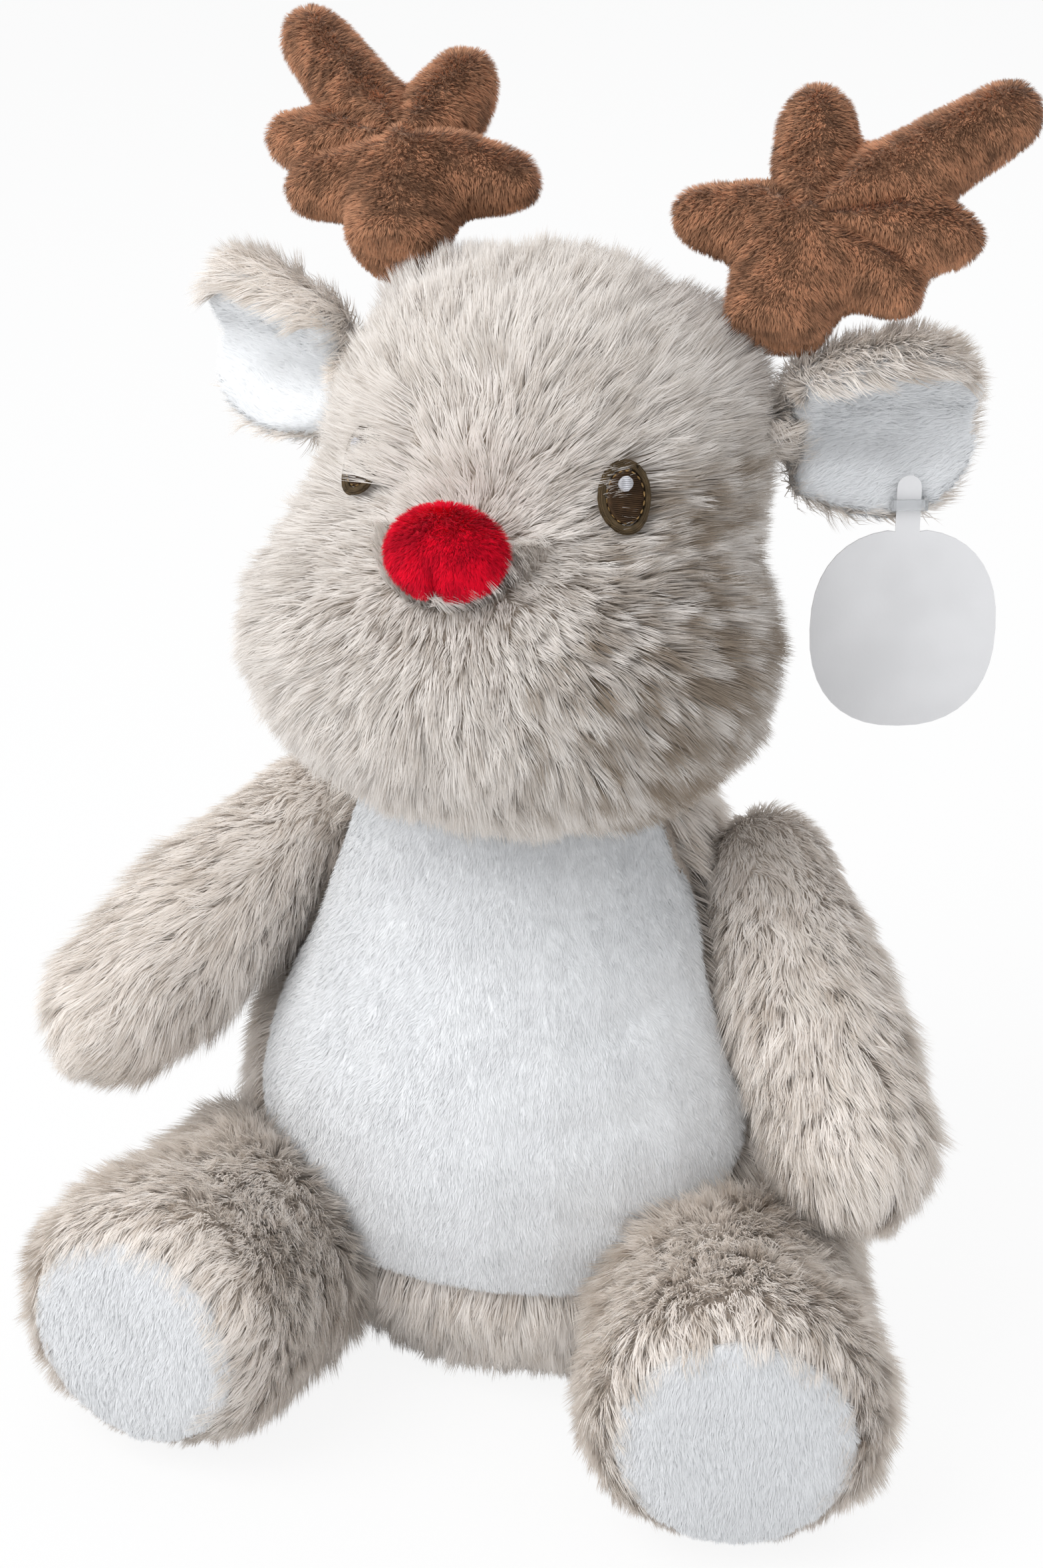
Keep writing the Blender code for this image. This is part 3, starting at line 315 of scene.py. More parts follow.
def fabrics():
    """The materials by the pieces' own words."""
    colours = bpy.context.scene.deer_colours
    white = tuple(colours.white_pile)
    brown = tuple(colours.antler_brown)
    red = tuple(colours.nose_red)
    return {
        "long": pile_material("Long two-tone pile", colours.pile_root, darker(colours.pile_tip, 0.94), colours.pile_roots_in_shade, 0.9,
                              through=0.22),
        # Painted light: a lighter copy of the long pile for the body, tail, limbs and ears, whose fibres catch less
        # light.
        "lightened long": pile_material("Long pile painted lighter", darker(colours.pile_tip, 0.84), darker(colours.pile_tip, 1.04),
                              colours.pile_root, 0.9, through=0.25),
        "backing": nap_material("Pile backing", colours.backing, darker(colours.backing, 0.6), 120, 1600, 0.8, 0.6),
        "white": nap_material("White short plush", white, darker(white, 0.92), 70, 1500, 0.3, 0.2),
        "ear edge": nap_material("Ear edge knit", darker(white, 0.80), colours.pile_root, 150, 1600, 0.35, 0.5),
        "white fibres": pile_material("White short fibres", darker(white, 0.97), darker(white, 1.06), darker(white, 0.80),
                                      0.6, through=0.15),
        # Painted light: a lighter copy of the white fibres for the ear linings and rims, which sit in the shade of the
        # ear's fur roll.
        "ear lightened white fibres": pile_material("Ear lining fibres painted lighter", white, darker(white, 1.12), darker(white, 0.85), 0.6,
                                          through=0.15),
        "brown": nap_material("Antler velour", brown, darker(brown, 0.45), 90, 1300, 0.8, 0.7),
        "brown fibres": pile_material("Antler velour fibres", darker(brown, 0.5), darker(brown, 2.45), darker(brown, 0.45),
                                      0.9, through=0.22),
        "red": nap_material("Nose plush", red, darker(red, 0.55), 150, 1600, 0.6, 0.6),
        "red fibres": pile_material("Nose plush fibres", darker(red, 0.6), darker(red, 1.34), darker(red, 0.45), 0.9,
                                    through=0.2, sheen=0.0),
    }


# Mesh helpers

def linked(name, mesh):
    made = bpy.data.objects.new(name, mesh)
    bpy.context.scene.collection.objects.link(made)
    return made


def node_copy(name, source):
    """A mesh object with the form of a node, its corners joined."""
    mesh = frame["nodes"][source].data.copy()
    mesh.materials.clear()
    work = bmesh.new()
    work.from_mesh(mesh)
    bmesh.ops.remove_doubles(work, verts=work.verts, dist=1e-6)
    bmesh.ops.recalc_face_normals(work, faces=work.faces)
    work.to_mesh(mesh)
    work.free()
    while mesh.uv_layers:
        mesh.uv_layers.remove(mesh.uv_layers[0])
    return linked(name, mesh)


def settle(item):
    """Applies the modifiers of a piece to its mesh."""
    graph = bpy.context.evaluated_depsgraph_get()
    mesh = bpy.data.meshes.new_from_object(item.evaluated_get(graph))
    item.modifiers.clear()
    old = item.data
    item.data = mesh
    bpy.data.meshes.remove(old)
    return item


def points_of(mesh):
    flat = np.empty(len(mesh.vertices) * 3, np.float32)
    mesh.vertices.foreach_get("co", flat)
    return flat.reshape(-1, 3).astype(float)


def normals_of(mesh):
    flat = np.empty(len(mesh.vertices) * 3, np.float32)
    mesh.vertices.foreach_get("normal", flat)
    return flat.reshape(-1, 3).astype(float)


def set_points(mesh, points):
    mesh.vertices.foreach_set("co", points.astype(np.float32).ravel())
    mesh.update()


def smooth_faces(mesh):
    mesh.polygons.foreach_set("use_smooth", np.ones(len(mesh.polygons), bool))


def refine(item, levels=1):
    """Subdivides and settles a piece."""
    finer = item.modifiers.new("Finer", "SUBSURF")
    finer.levels = levels
    finer.render_levels = levels
    settle(item)
    smooth_faces(item.data)
    return item


def remeshed(name, source, inset, voxel):
    """A node's form, drawn in and covered with an even grid."""
    item = node_copy(name, source)
    if inset:
        drawn = item.modifiers.new("Drawn in", "DISPLACE")
        drawn.strength = -inset
        drawn.mid_level = 0.0
    grid = item.modifiers.new("Even grid", "REMESH")
    grid.mode = "VOXEL"
    grid.voxel_size = voxel
    even = item.modifiers.new("Even", "SMOOTH")
    even.factor = 0.5
    even.iterations = 4
    return settle(item)


def unit(vectors):
    return vectors / np.maximum(np.linalg.norm(vectors, axis=1, keepdims=True), 1e-9)


def smoothstep(values):
    values = np.clip(values, 0.0, 1.0)
    return values * values * (3 - 2 * values)


def tree_of(*names):
    """One search tree of the faces of several nodes."""
    points, faces = [], []
    for name in names:
        mesh = frame["nodes"][name].data
        start = len(points)
        points += [vertex.co.copy() for vertex in mesh.vertices]
        faces += [[start + index for index in polygon.vertices] for polygon in mesh.polygons]
    return BVHTree.FromPolygons(points, faces)


def covered(points, normals, tree, reach, back=0.001):
    """Whether each point has one of the tree's faces over it within the reach."""
    found = np.zeros(len(points), bool)
    for index, (point, normal) in enumerate(zip(points, normals)):
        way = Vector(normal)
        hit = tree.ray_cast(Vector(point) - way * back, way, reach + back)
        found[index] = hit[0] is not None
    return found


def scatter(items, density, rng):
    """Even random points on pieces: place, normal."""
    places, facings = [], []
    for item in items:
        mesh = item.data
        mesh.calc_loop_triangles()
        corners = np.empty(len(mesh.loop_triangles) * 3, np.int32)
        mesh.loop_triangles.foreach_get("vertices", corners)
        corners = corners.reshape(-1, 3)
        points, normals = points_of(mesh), normals_of(mesh)
        first, second, third = (points[corners[:, side]] for side in range(3))
        areas = 0.5 * np.linalg.norm(np.cross(second - first, third - first), axis=1)
        count = int(areas.sum() * 1e6 * density)
        chosen = rng.choice(len(areas), count, p=areas / areas.sum())
        u, v = rng.random(count), rng.random(count)
        over = u + v > 1
        u[over], v[over] = 1 - u[over], 1 - v[over]
        weights = np.stack([1 - u - v, u, v], 1)[:, :, None]
        places.append((points[corners[chosen]] * weights).sum(1))
        facings.append(unit((normals[corners[chosen]] * weights).sum(1)))
    return np.concatenate(places), np.concatenate(facings)


def strand_mesh(name, rows, widths, sides, shades, normals):
    """Flat fibres. rows is (fibre, place, xyz) from root to tip; the tip is a point."""
    count, places = len(rows), rows.shape[1]
    last = places - 1
    per = 2 * last + 1
    flat = unit(np.cross(sides, rows[:, last] - rows[:, 0]))
    outward = np.where((flat * normals).sum(1) < 0, -1.0, 1.0)[:, None]
    flat, sides = flat * outward, sides * outward
    points = np.empty((count, per, 3))
    for place in range(last):
        half = sides * widths[:, place, None] * 0.5
        points[:, 2 * place] = rows[:, place] - half
        points[:, 2 * place + 1] = rows[:, place] + half
    points[:, per - 1] = rows[:, last]
    pattern, sizes, spots = [], [], []
    heights = np.linspace(0.03, 0.97, places)
    for place in range(last - 1):
        low = 2 * place
        pattern += [low, low + 1, low + 3, low + 2]
        spots += [(0, heights[place]), (1, heights[place]), (1, heights[place + 1]), (0, heights[place + 1])]
        sizes.append(4)
    pattern += [per - 3, per - 2, per - 1]
    spots += [(0, heights[last - 1]), (1, heights[last - 1]), (0.5, heights[last])]
    sizes.append(3)
    pattern, spots = np.array(pattern), np.array(spots)
    indices = (np.arange(count)[:, None] * per + pattern[None]).ravel()
    starts = (np.arange(count)[:, None] * len(pattern) + np.cumsum([0] + sizes[:-1])[None]).ravel()
    mesh = bpy.data.meshes.new(name)
    mesh.vertices.add(count * per)
    mesh.vertices.foreach_set("co", points.astype(np.float32).ravel())
    mesh.loops.add(len(indices))
    mesh.loops.foreach_set("vertex_index", indices.astype(np.int32))
    mesh.polygons.add(len(starts))
    mesh.polygons.foreach_set("loop_start", starts.astype(np.int32))
    mesh.update(calc_edges=True)
    layer = mesh.uv_layers.new(name=PILE_UV)
    uv = np.empty((count, len(pattern), 2), np.float32)
    uv[:, :, 0] = 0.02 + 0.95 * shades[:, None] + 0.008 * spots[None, :, 0]
    uv[:, :, 1] = spots[None, :, 1]
    layer.data.foreach_set("uv", uv.ravel())
    smooth_faces(mesh)
    soft = unit(flat * 0.45 + normals * 0.75)
    mesh.normals_split_custom_set_from_vertices(np.repeat(soft, per, axis=0).tolist())
    return mesh


def even_shade(points):
    """Shade of pile that is all of one mind: level and patchiness."""
    return np.full(len(points), 0.72), np.full(len(points), 0.35)


def grow(name, body, items, comb, keep, material, seed, density, length, width, lean, tuft, gather=0.38,
         joints=2, floor=True, lengths=None, shade=even_shade, upright=None, grain=0.14):
    """Pile on pieces: fibres that lean along the comb and gather into tufts."""
    rng = np.random.default_rng(seed)
    roots, normals = scatter(items, density, rng)
    kept = keep(roots, normals)
    roots, normals = roots[kept], normals[kept]
    count = len(roots)
    way = comb(roots, normals)
    way = unit(way - normals * (way * normals).sum(1)[:, None])
    centres = rng.choice(count, max(count // tuft, 1), replace=False)
    finder = KDTree(len(centres))
    for index, point in enumerate(roots[centres]):
        finder.insert(point, index)
    finder.balance()
    tufts = np.array([finder.find(point)[1] for point in roots])
    sway = np.array([noise.noise_vector(Vector(point) * 90.0) for point in roots[centres]])
    broad = np.array([noise.noise(Vector(point) * 55.0) for point in roots[centres]])
    clump = np.array([noise.noise(Vector(point) * 240.0) for point in roots[centres]])
    tuft_turn = rng.normal(0.0, 0.15, len(centres)) + 0.45 * sway[:, 0]
    tuft_lean = rng.normal(0.0, 0.13, len(centres)) + 0.25 * sway[:, 1]
    turn = tuft_turn[tufts] + rng.normal(0.0, 0.16, count)
    lean_angle = np.clip(lean + tuft_lean[tufts] + rng.normal(0.0, 0.10, count), 0.15, 1.35)
    if upright is not None:
        lean_angle = lean_angle * (1 - upright(roots))
    across = np.cross(normals, way)
    way = way * np.cos(turn)[:, None] + across * np.sin(turn)[:, None]
    across = np.cross(normals, way)
    reach = length * rng.uniform(0.84, 1.12, count) * (1 + 0.16 * sway[tufts, 2])
    if lengths is not None:
        reach = reach * lengths(roots, normals)
    rows = np.empty((count, joints + 1, 3))
    rows[:, 0] = roots
    for step in range(1, joints + 1):
        angle = lean_angle + (step - (joints + 1) / 2) * 0.55 / joints
        part = reach / joints
        rows[:, step] = (rows[:, step - 1] + normals * (part * np.cos(angle))[:, None]
                         + way * (part * np.sin(angle))[:, None])
    leader = centres[tufts]
    for step in range(1, joints + 1):
        share = gather * (step / joints) ** 1.5
        rows[:, step] += (rows[leader, step] - rows[:, step]) * share * rng.uniform(0.6, 1.0, count)[:, None]
    if floor:
        rows[:, :, 2] = np.maximum(rows[:, :, 2], 0.0004 + 0.0012 * rng.random(count)[:, None])
    twist = rng.normal(0.0, 0.45, count)
    sides = unit(across * np.cos(twist)[:, None] + normals * np.sin(twist)[:, None])
    widths = width * rng.uniform(0.75, 1.25, count)[:, None] * np.linspace(1.0, 0.72, joints)[None]
    level, patchy = shade(roots)
    shades = np.clip(level + patchy * (0.45 * broad + 1.1 * clump)[tufts] + rng.normal(0.0, grain, count)
                     + rng.normal(0.0, 0.10, len(centres))[tufts], 0.0, 1.0)
    parts = math.ceil(count * (2 * joints - 1) / 195000)
    for part, chosen in enumerate(np.array_split(np.argsort(roots[:, 1], kind="stable"), parts)):
        piece = name if parts == 1 else f"{name}_{part + 1}"
        mesh = strand_mesh(piece, rows[chosen], widths[chosen], sides[chosen], shades[chosen], normals[chosen])
        mesh.materials.append(material)
        made = linked(piece, mesh)
        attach(made, body)


# The way that the pile lies

def along(direction):
    """A comb that runs one way."""
    direction = np.array(direction, float)
    return lambda points, normals: np.broadcast_to(direction, points.shape)


def nose_centre():
    low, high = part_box("nose")
    return np.array((low + high) / 2)


def head_comb(points, normals):
    """The pile spreads from the nose and falls down the back of the head."""
    away = unit(points - nose_centre() - np.array([0, 0.012, 0]))
    back = smoothstep((points[:, 1] - 0.005) / 0.05)[:, None]
    low = smoothstep((0.185 - points[:, 2]) / 0.03)[:, None]
    return away + back * np.array([0, 0.1, -1.6]) + low * np.array([0, 0.25, -0.15])


def torso_comb(points, normals):
    """The pile falls down and parts to the sides."""
    aside = np.stack([points[:, 0] * 6.0, np.zeros(len(points)), np.full(len(points), -1.0)], 1)
    return aside


def limb_comb(direction, drop):
    """The pile runs to the limb's end and droops a little."""
    way = unit(np.array([direction], float))[0] + np.array([0, 0, -drop])
    return along(way)


def any_place(points, normals):
    return np.ones(len(points), bool)


# Pieces

class DEER_OT_skins(Operator):
    """Padded fabric skins of body, head, limbs, tail, antlers and nose"""
    bl_idname = "deer.skins"
    bl_label = "Padded skins"

    def execute(self, context):
        sizes = context.scene.deer_sizes
        cloth = fabrics()
        table = [("torso_skin", "torso_filling", "torso", ("torso_cover", "torso_filling"), 0.005, -0.0016, 0.0014,
                  "backing", "long_pile"),
                 ("head_skin", "head_filling", "head", ("head_cover", "head_filling"), 0.0045, -0.0016, 0.0014,
                  "backing", "long_pile"),
                 ("tail_skin", "tail", "torso", ("tail",), 0.003, 0.0045, 0.001, "backing", "long_pile"),
                 ("nose_pad", "nose", "head", ("nose",), 0.0013, 0.0010, 0.0006, "red", "red_short_pile")]
        for side, word in SIDES:
            table += [(f"arm_skin_{word}", f"arm_filling_{word}", f"arm_{word}",
                       (f"arm_cover_{word}", f"arm_filling_{word}"), 0.004, -0.0012, 0.0012, "backing", "long_pile"),
                      (f"leg_skin_{word}", f"leg_filling_{word}", f"leg_{word}",
                       (f"leg_cover_{word}", f"leg_filling_{word}"), 0.0045, -0.0012, 0.0012, "backing", "long_pile"),
                      (f"antler_velour_{word}", f"antler_filling_{word}", f"antler_{word}",
                       (f"antler_cover_{word}", f"antler_filling_{word}"), 0.0020, -0.0036, 0.0006, "brown",
                       "brown_velour")]
        made = []
        for name, source, body, stands_for, voxel, inset, cap, fabric, slot in table:
            item = remeshed(name, source, inset, voxel)
            made.append((item, points_of(item.data), cap))
        for item, start, cap in made:
            pad = item.modifiers.new("Padding", "CLOTH")
            pad.settings.quality = 5
            pad.settings.use_pressure = True
            pad.settings.uniform_pressure_force = sizes.padding_pressure
            pad.settings.effector_weights.gravity = 0.0
            pad.point_cache.frame_start = 1
            pad.point_cache.frame_end = sizes.padding_frames
        for step in range(1, sizes.padding_frames + 1):
            context.scene.frame_set(step)
        for item, start, cap in made:
            settle(item)
            move = points_of(item.data) - start
            far = np.linalg.norm(move, axis=1, keepdims=True)
            set_points(item.data, start + move * np.minimum(1.0, cap / np.maximum(far, 1e-9)))
        context.scene.frame_set(1)
        for (item, start, cap), row in zip(made, table):
            even = item.modifiers.new("Even", "SMOOTH")
            even.factor = 0.5
            even.iterations = 3
            refine(item)
            item.data.materials.append(cloth[row[7]])
            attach(item, row[2])
            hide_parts(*row[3])
        return {"FINISHED"}


class DEER_OT_head_pile(Operator):
    """Long pile of the head, combed away from the nose"""
    bl_idname = "deer.head_pile"
    bl_label = "Head pile"

    def execute(self, context):
        sizes = context.scene.deer_sizes
        fabric = fabrics()["long"]
        skin = bpy.data.objects["head_skin"]
        hidden = tree_of("eye_left", "eye_right", "eye_ring_left", "eye_ring_right")
        under_nose = tree_of("nose")
        roots = tree_of("antler_cover_left", "antler_cover_right")
        neck = np.array(JOINTS["neck_turn"]["pos_m"])

        def keep_side(side):
            def keep(points, normals):
                kept = (points[:, 0] - neck[0]) * side >= 0
                from_neck = points - neck
                under = (np.hypot(from_neck[:, 0], from_neck[:, 1]) < 0.030) & (normals[:, 2] < -0.7)
                kept &= ~under
                index = np.flatnonzero(kept)
                over = covered(points[index], normals[index], hidden, 0.012)
                over |= covered(points[index], normals[index], under_nose, 0.005)
                over |= covered(points[index], normals[index], roots, 0.007)
                kept[index[over]] = False
                return kept
            return keep

        collars = [np.array(JOINTS[f"antler_root_{word}"]["pos_m"]) for side, word in SIDES]

        def round_antlers(points):
            near = np.min([np.linalg.norm(points - collar, axis=1) for collar in collars], axis=0)
            return 1 - smoothstep((near - 0.012) / 0.016)

        def short_at_nose(points, normals):
            near = np.linalg.norm(points - nose_centre(), axis=1)
            return 0.50 + 0.50 * smoothstep((near - 0.014) / 0.030) + 0.30 * round_antlers(points)

        def brushed_up(points):
            side = smoothstep((points[:, 0] - 0.008) / 0.028)
            side *= smoothstep((np.linalg.norm(points - nose_centre(), axis=1) - 0.024) / 0.016)
            return side * smoothstep((0.245 - points[:, 2]) / 0.030) * smoothstep((0.020 - points[:, 1]) / 0.030)

        # On the face's +x side, where the pile is brushed up, the pile is darker and patchier: more of its fibres take
        # the painted parting shade.
        def head_shade(points):
            stirred = brushed_up(points)
            return 0.88 - 0.42 * stirred, 0.24 + 1.10 * stirred

        def standing(points):
            return np.maximum(0.42 * brushed_up(points), 0.70 * round_antlers(points))

        for seed, (side, word) in enumerate(SIDES):
            grow(f"head_pile_{word}", "head", [skin], head_comb, keep_side(side), fabric, 11 + seed,
                 sizes.pile_density, sizes.pile_length, sizes.pile_width, sizes.pile_lean, sizes.tuft_size,
                 lengths=short_at_nose, shade=head_shade, upright=standing)
        low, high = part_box("nose")
        nose_half = np.array((high - low) / 2)

        def round_nose(points, normals):
            away = (points - nose_centre())[:, [0, 2]] / nose_half[[0, 2]]
            far = np.linalg.norm(away, axis=1)
            return (far > 0.85) & (far < 1.35) & (away[:, 1] < 0.8) & (points[:, 1] < nose_centre()[1] + 0.02)

        def below_nose(points):
            up = (points - nose_centre())[:, 2] / nose_half[2]
            return 1 - smoothstep((up + 0.35) / 0.5)

        def nose_edge_lengths(points, normals):
            return 0.6 + 0.4 * below_nose(points)

        def nose_edge_upright(points):
            return 0.7 * below_nose(points)

        def nose_edge_shade(points):
            return np.full(len(points), 1.05), np.full(len(points), 0.20)

        def to_nose(points, normals):
            low_down = below_nose(points)[:, None] > 0.5
            return np.where(low_down, nose_centre() - points + np.array([0, -0.02, 0]), head_comb(points, normals))

        grow("nose_edge_pile", "head", [skin], to_nose, round_nose, fabric, 15, sizes.pile_density,
             sizes.pile_length, sizes.pile_width, math.radians(48), 8, lengths=nose_edge_lengths,
             shade=nose_edge_shade, upright=nose_edge_upright)
        low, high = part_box("eye_ring_right")
        eye = np.array((low + high) / 2)

        def beside_eye(points, normals):
            away = points - eye
            return ((away[:, 0] > 0.003) & (away[:, 0] < 0.014) & (away[:, 2] > -0.006) & (away[:, 2] < 0.013)
                    & (normals[:, 1] < 0))

        def over_eye(points, normals):
            return unit(head_comb(points, normals)) * 0.7 + np.array([-0.8, 0.1, -0.1])

        grow("eye_crease_pile", "head", [skin], over_eye, beside_eye, fabric, 17,
             sizes.pile_density * 3, sizes.pile_length * 1.15, sizes.pile_width, math.radians(42), sizes.tuft_size,
             shade=head_shade)
        return {"FINISHED"}


class DEER_OT_body_pile(Operator):
    """Long pile of the torso and the tail"""
    bl_idname = "deer.body_pile"
    bl_label = "Body pile"

    def execute(self, context):
        sizes = context.scene.deer_sizes
        fabric = fabrics()["lightened long"]
        hidden = tree_of("belly_panel")
        legs = tree_of("leg_filling_left", "leg_filling_right", "arm_filling_left", "arm_filling_right", "tail")
        neck = np.array(JOINTS["neck_turn"]["pos_m"])

        def keep_half(side):
            def keep(points, normals):
                kept = points[:, 0] * side >= 0
                from_neck = points - neck
                kept &= ~((np.hypot(from_neck[:, 0], from_neck[:, 1]) < 0.034) & (from_neck[:, 2] > -0.012))
                index = np.flatnonzero(kept)
                over = covered(points[index], normals[index], hidden, 0.012)
                over |= covered(points[index], normals[index], legs, 0.004, 0.012)
                kept[index[over]] = False
                return kept
            return keep

        def body_shade(points):
            return np.full(len(points), 0.95), np.full(len(points), 0.45)

        for seed, (side, word) in enumerate(SIDES):
            grow(f"body_pile_{word}", "torso", [bpy.data.objects["torso_skin"]], torso_comb, keep_half(side), fabric,
                 21 + seed, sizes.pile_density, sizes.pile_length, sizes.pile_width, sizes.pile_lean,
                 sizes.tuft_size, shade=body_shade)
        grow("tail_pile", "torso", [bpy.data.objects["tail_skin"]], along((0, 0.3, -1)), any_place, fabric,
             25, sizes.pile_density * 1.3, sizes.pile_length * 1.15, sizes.pile_width, math.radians(48),
             sizes.tuft_size, shade=body_shade)
        return {"FINISHED"}


class DEER_OT_limb_pile(Operator):
    """Long pile of the arms and the legs"""
    bl_idname = "deer.limb_pile"
    bl_label = "Limb pile"

    def execute(self, context):
        sizes = context.scene.deer_sizes
        fabric = fabrics()["lightened long"]
        reaches = {"left": (0.033, -0.043, -0.048), "right": (-0.033, -0.050, -0.036)}
        splays = {"left": math.radians(17), "right": math.radians(-9)}
        for seed, (side, word) in enumerate(SIDES):
            shoulder = np.array(JOINTS[f"shoulder_{word}"]["pos_m"])
            sole = tree_of(f"sole_{word}")
            torso = tree_of("torso_filling", f"arm_filling_{word}")

            def arm_shade(points):
                return np.full(len(points), 0.92), np.full(len(points), 0.30)

            def arm_lengths(points, normals):
                return 0.45 + 0.55 * smoothstep((np.linalg.norm(points - shoulder, axis=1) - 0.012) / 0.024)

            def arm_keep(points, normals):
                return np.linalg.norm(points - shoulder, axis=1) > 0.011

            def leg_keep(points, normals):
                kept = ~covered(points, normals, sole, 0.012)
                index = np.flatnonzero(kept)
                kept[index[covered(points[index], normals[index], torso, 0.002, 0.012)]] = False
                return kept

            grow(f"arm_pile_{word}", f"arm_{word}", [bpy.data.objects[f"arm_skin_{word}"]],
                 limb_comb(reaches[word], 0.1), arm_keep, fabric, 31 + seed, sizes.pile_density,
                 sizes.pile_length, sizes.pile_width, sizes.pile_lean, sizes.tuft_size, lengths=arm_lengths,
                 shade=arm_shade)
            way = (math.sin(splays[word]), -math.cos(splays[word]), 0.0)
            sole_low, sole_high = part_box(f"sole_{word}")

            def leg_lengths(points, normals):
                front = smoothstep((sole_high.y + 0.022 - points[:, 1]) / 0.020)
                under = smoothstep((sole_low.z + 0.012 - points[:, 2]) / 0.016)
                return 1.0 - front * (0.22 + 0.38 * under)

            def leg_shade(points):
                return np.full(len(points), 1.00), np.full(len(points), 0.80)

            grow(f"leg_pile_{word}", f"leg_{word}", [bpy.data.objects[f"leg_skin_{word}"]], limb_comb(way, 0.25),
                 leg_keep, fabric, 35 + seed, sizes.pile_density, sizes.pile_length, sizes.pile_width,
                 sizes.pile_lean, sizes.tuft_size, lengths=leg_lengths, shade=leg_shade)
        return {"FINISHED"}


def fabric_panel(name, source, body, voxel, fabric, inset=0.0003, shape=None):
    """A short-pile panel with the form of a node, shaped by a function of its points and normals."""
    item = remeshed(name, source, inset, voxel)
    smooth_faces(item.data)
    if shape:
        set_points(item.data, shape(points_of(item.data), normals_of(item.data)))
    item.data.materials.append(fabric)
    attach(item, body)
    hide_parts(source)
    return item


class DEER_OT_ears(Operator):
    """Ears: long-pile backs folded round white linings"""
    bl_idname = "deer.ears"
    bl_label = "Ears"

    def execute(self, context):
        sizes = context.scene.deer_sizes
        cloth = fabrics()
        for seed, (side, word) in enumerate(SIDES):
            low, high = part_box(f"ear_back_{word}")
            root = np.array(JOINTS[f"ear_root_{word}"]["pos_m"])
            tip = np.array((high.x if side > 0 else low.x, (low.y + high.y) / 2, high.z))
            rim = points_of(frame["nodes"][f"ear_back_{word}"].data)
            stations = np.linspace(low.x, high.x, 25)
            tops = np.array([rim[np.abs(rim[:, 0] - spot) < 0.004][:, 2].max() for spot in stations])
            ends = np.array([rim[np.abs(rim[:, 0] - spot) < 0.004][:, 2].min() for spot in stations])

            def heights(points):
                top = np.interp(points[:, 0], stations, tops)
                end = np.interp(points[:, 0], stations, ends)
                return (points[:, 2] - end) / (top - end), top - points[:, 2]

            def fold(points):
                share, below_top = heights(points)
                out = np.clip((points[:, 0] - root[0]) * side / 0.045, 0.0, 1.0)
                return np.exp(-((share - 0.44 + 0.10 * out) / 0.09) ** 2) * smoothstep((0.85 - out) / 0.35)

            # Painted shade: along the fold the lining's fibres take their darker colour.
            def painted_fold_shade(points):
                return 1.0 - 0.95 * fold(points), np.full(len(points), 0.1)

            def folded(points, normals):
                share, below_top = heights(points)
                crease = fold(points)
                roll = np.exp(-((share - 0.72) / 0.13) ** 2) + 0.8 * np.exp(-((share - 0.22) / 0.14) ** 2)
                front = smoothstep(-normals[:, 1] * 2)
                return points + normals * ((0.0026 * roll - 0.0012 * crease) * front)[:, None]

            back = fabric_panel(f"ear_skin_{word}", f"ear_back_{word}", f"ear_{word}", 0.0012, cloth["ear edge"],
                                inset=0.0016)
            lining = fabric_panel(f"ear_lining_plush_{word}", f"ear_lining_{word}", f"ear_{word}", 0.0008,
                                  cloth["white"], inset=0.0002, shape=folded)
            over = tree_of(f"ear_lining_{word}")

            def behind(points, normals):
                lower_rim = ((normals[:, 2] < -0.2) & (normals[:, 1] < 0.4)
                             & (np.abs(points[:, 0] - root[0]) > 0.018))
                return ~covered(points, normals, over, 0.006) & ~lower_rim

            def ear_comb(points, normals):
                upper = smoothstep(normals[:, 2] / 0.5)[:, None] * (normals[:, 1] < 0.6)[:, None]
                return unit((tip - root)[None]) + upper * np.array([0, -1.3, -0.5])

            def ear_shade(points):
                return np.full(len(points), 0.86), np.full(len(points), 0.5)

            grow(f"ear_pile_{word}", f"ear_{word}", [back], ear_comb, behind, cloth["lightened long"],
                 41 + seed, sizes.pile_density * 1.2, sizes.pile_length * 0.72, sizes.pile_width, sizes.pile_lean,
                 sizes.tuft_size, floor=False, shade=ear_shade)

            def top_band(points, normals):
                share, below_top = heights(points)
                return (below_top < 0.0085) & (normals[:, 1] < 0.3) & (normals[:, 2] > -0.6)

            def turned_over(points, normals):
                return unit((tip - root)[None]) * 0.9 + np.array([0, -0.6, -0.75])

            grow(f"ear_roll_pile_{word}", f"ear_{word}", [back, lining], turned_over, top_band, cloth["lightened long"],
                 43 + seed, sizes.pile_density * 1.4, sizes.pile_length * 0.80, sizes.pile_width,
                 math.radians(50), sizes.tuft_size, floor=False, shade=ear_shade)

            def lining_front(points, normals):
                share, below_top = heights(points)
                return (normals[:, 1] < 0.1) & (below_top > 0.005)

            def lower_rim(points, normals):
                return ((normals[:, 2] < -0.1) & (normals[:, 1] < 0.5)
                        & (np.abs(points[:, 0] - root[0]) > 0.016))

            grow(f"ear_lining_fibres_{word}", f"ear_{word}", [lining], along(tip - root), lining_front,
                 cloth["ear lightened white fibres"], 45 + seed, sizes.short_density, sizes.short_length,
                 0.00022, math.radians(62), 12, gather=0.2, joints=1, floor=False, shade=painted_fold_shade)
            grow(f"ear_rim_fibres_{word}", f"ear_{word}", [back], along(tip - root), lower_rim,
                 cloth["ear lightened white fibres"], 47 + seed, sizes.short_density * 1.3,
                 sizes.short_length, 0.00026, math.radians(55), 12, gather=0.2, joints=1, floor=False)
        return {"FINISHED"}


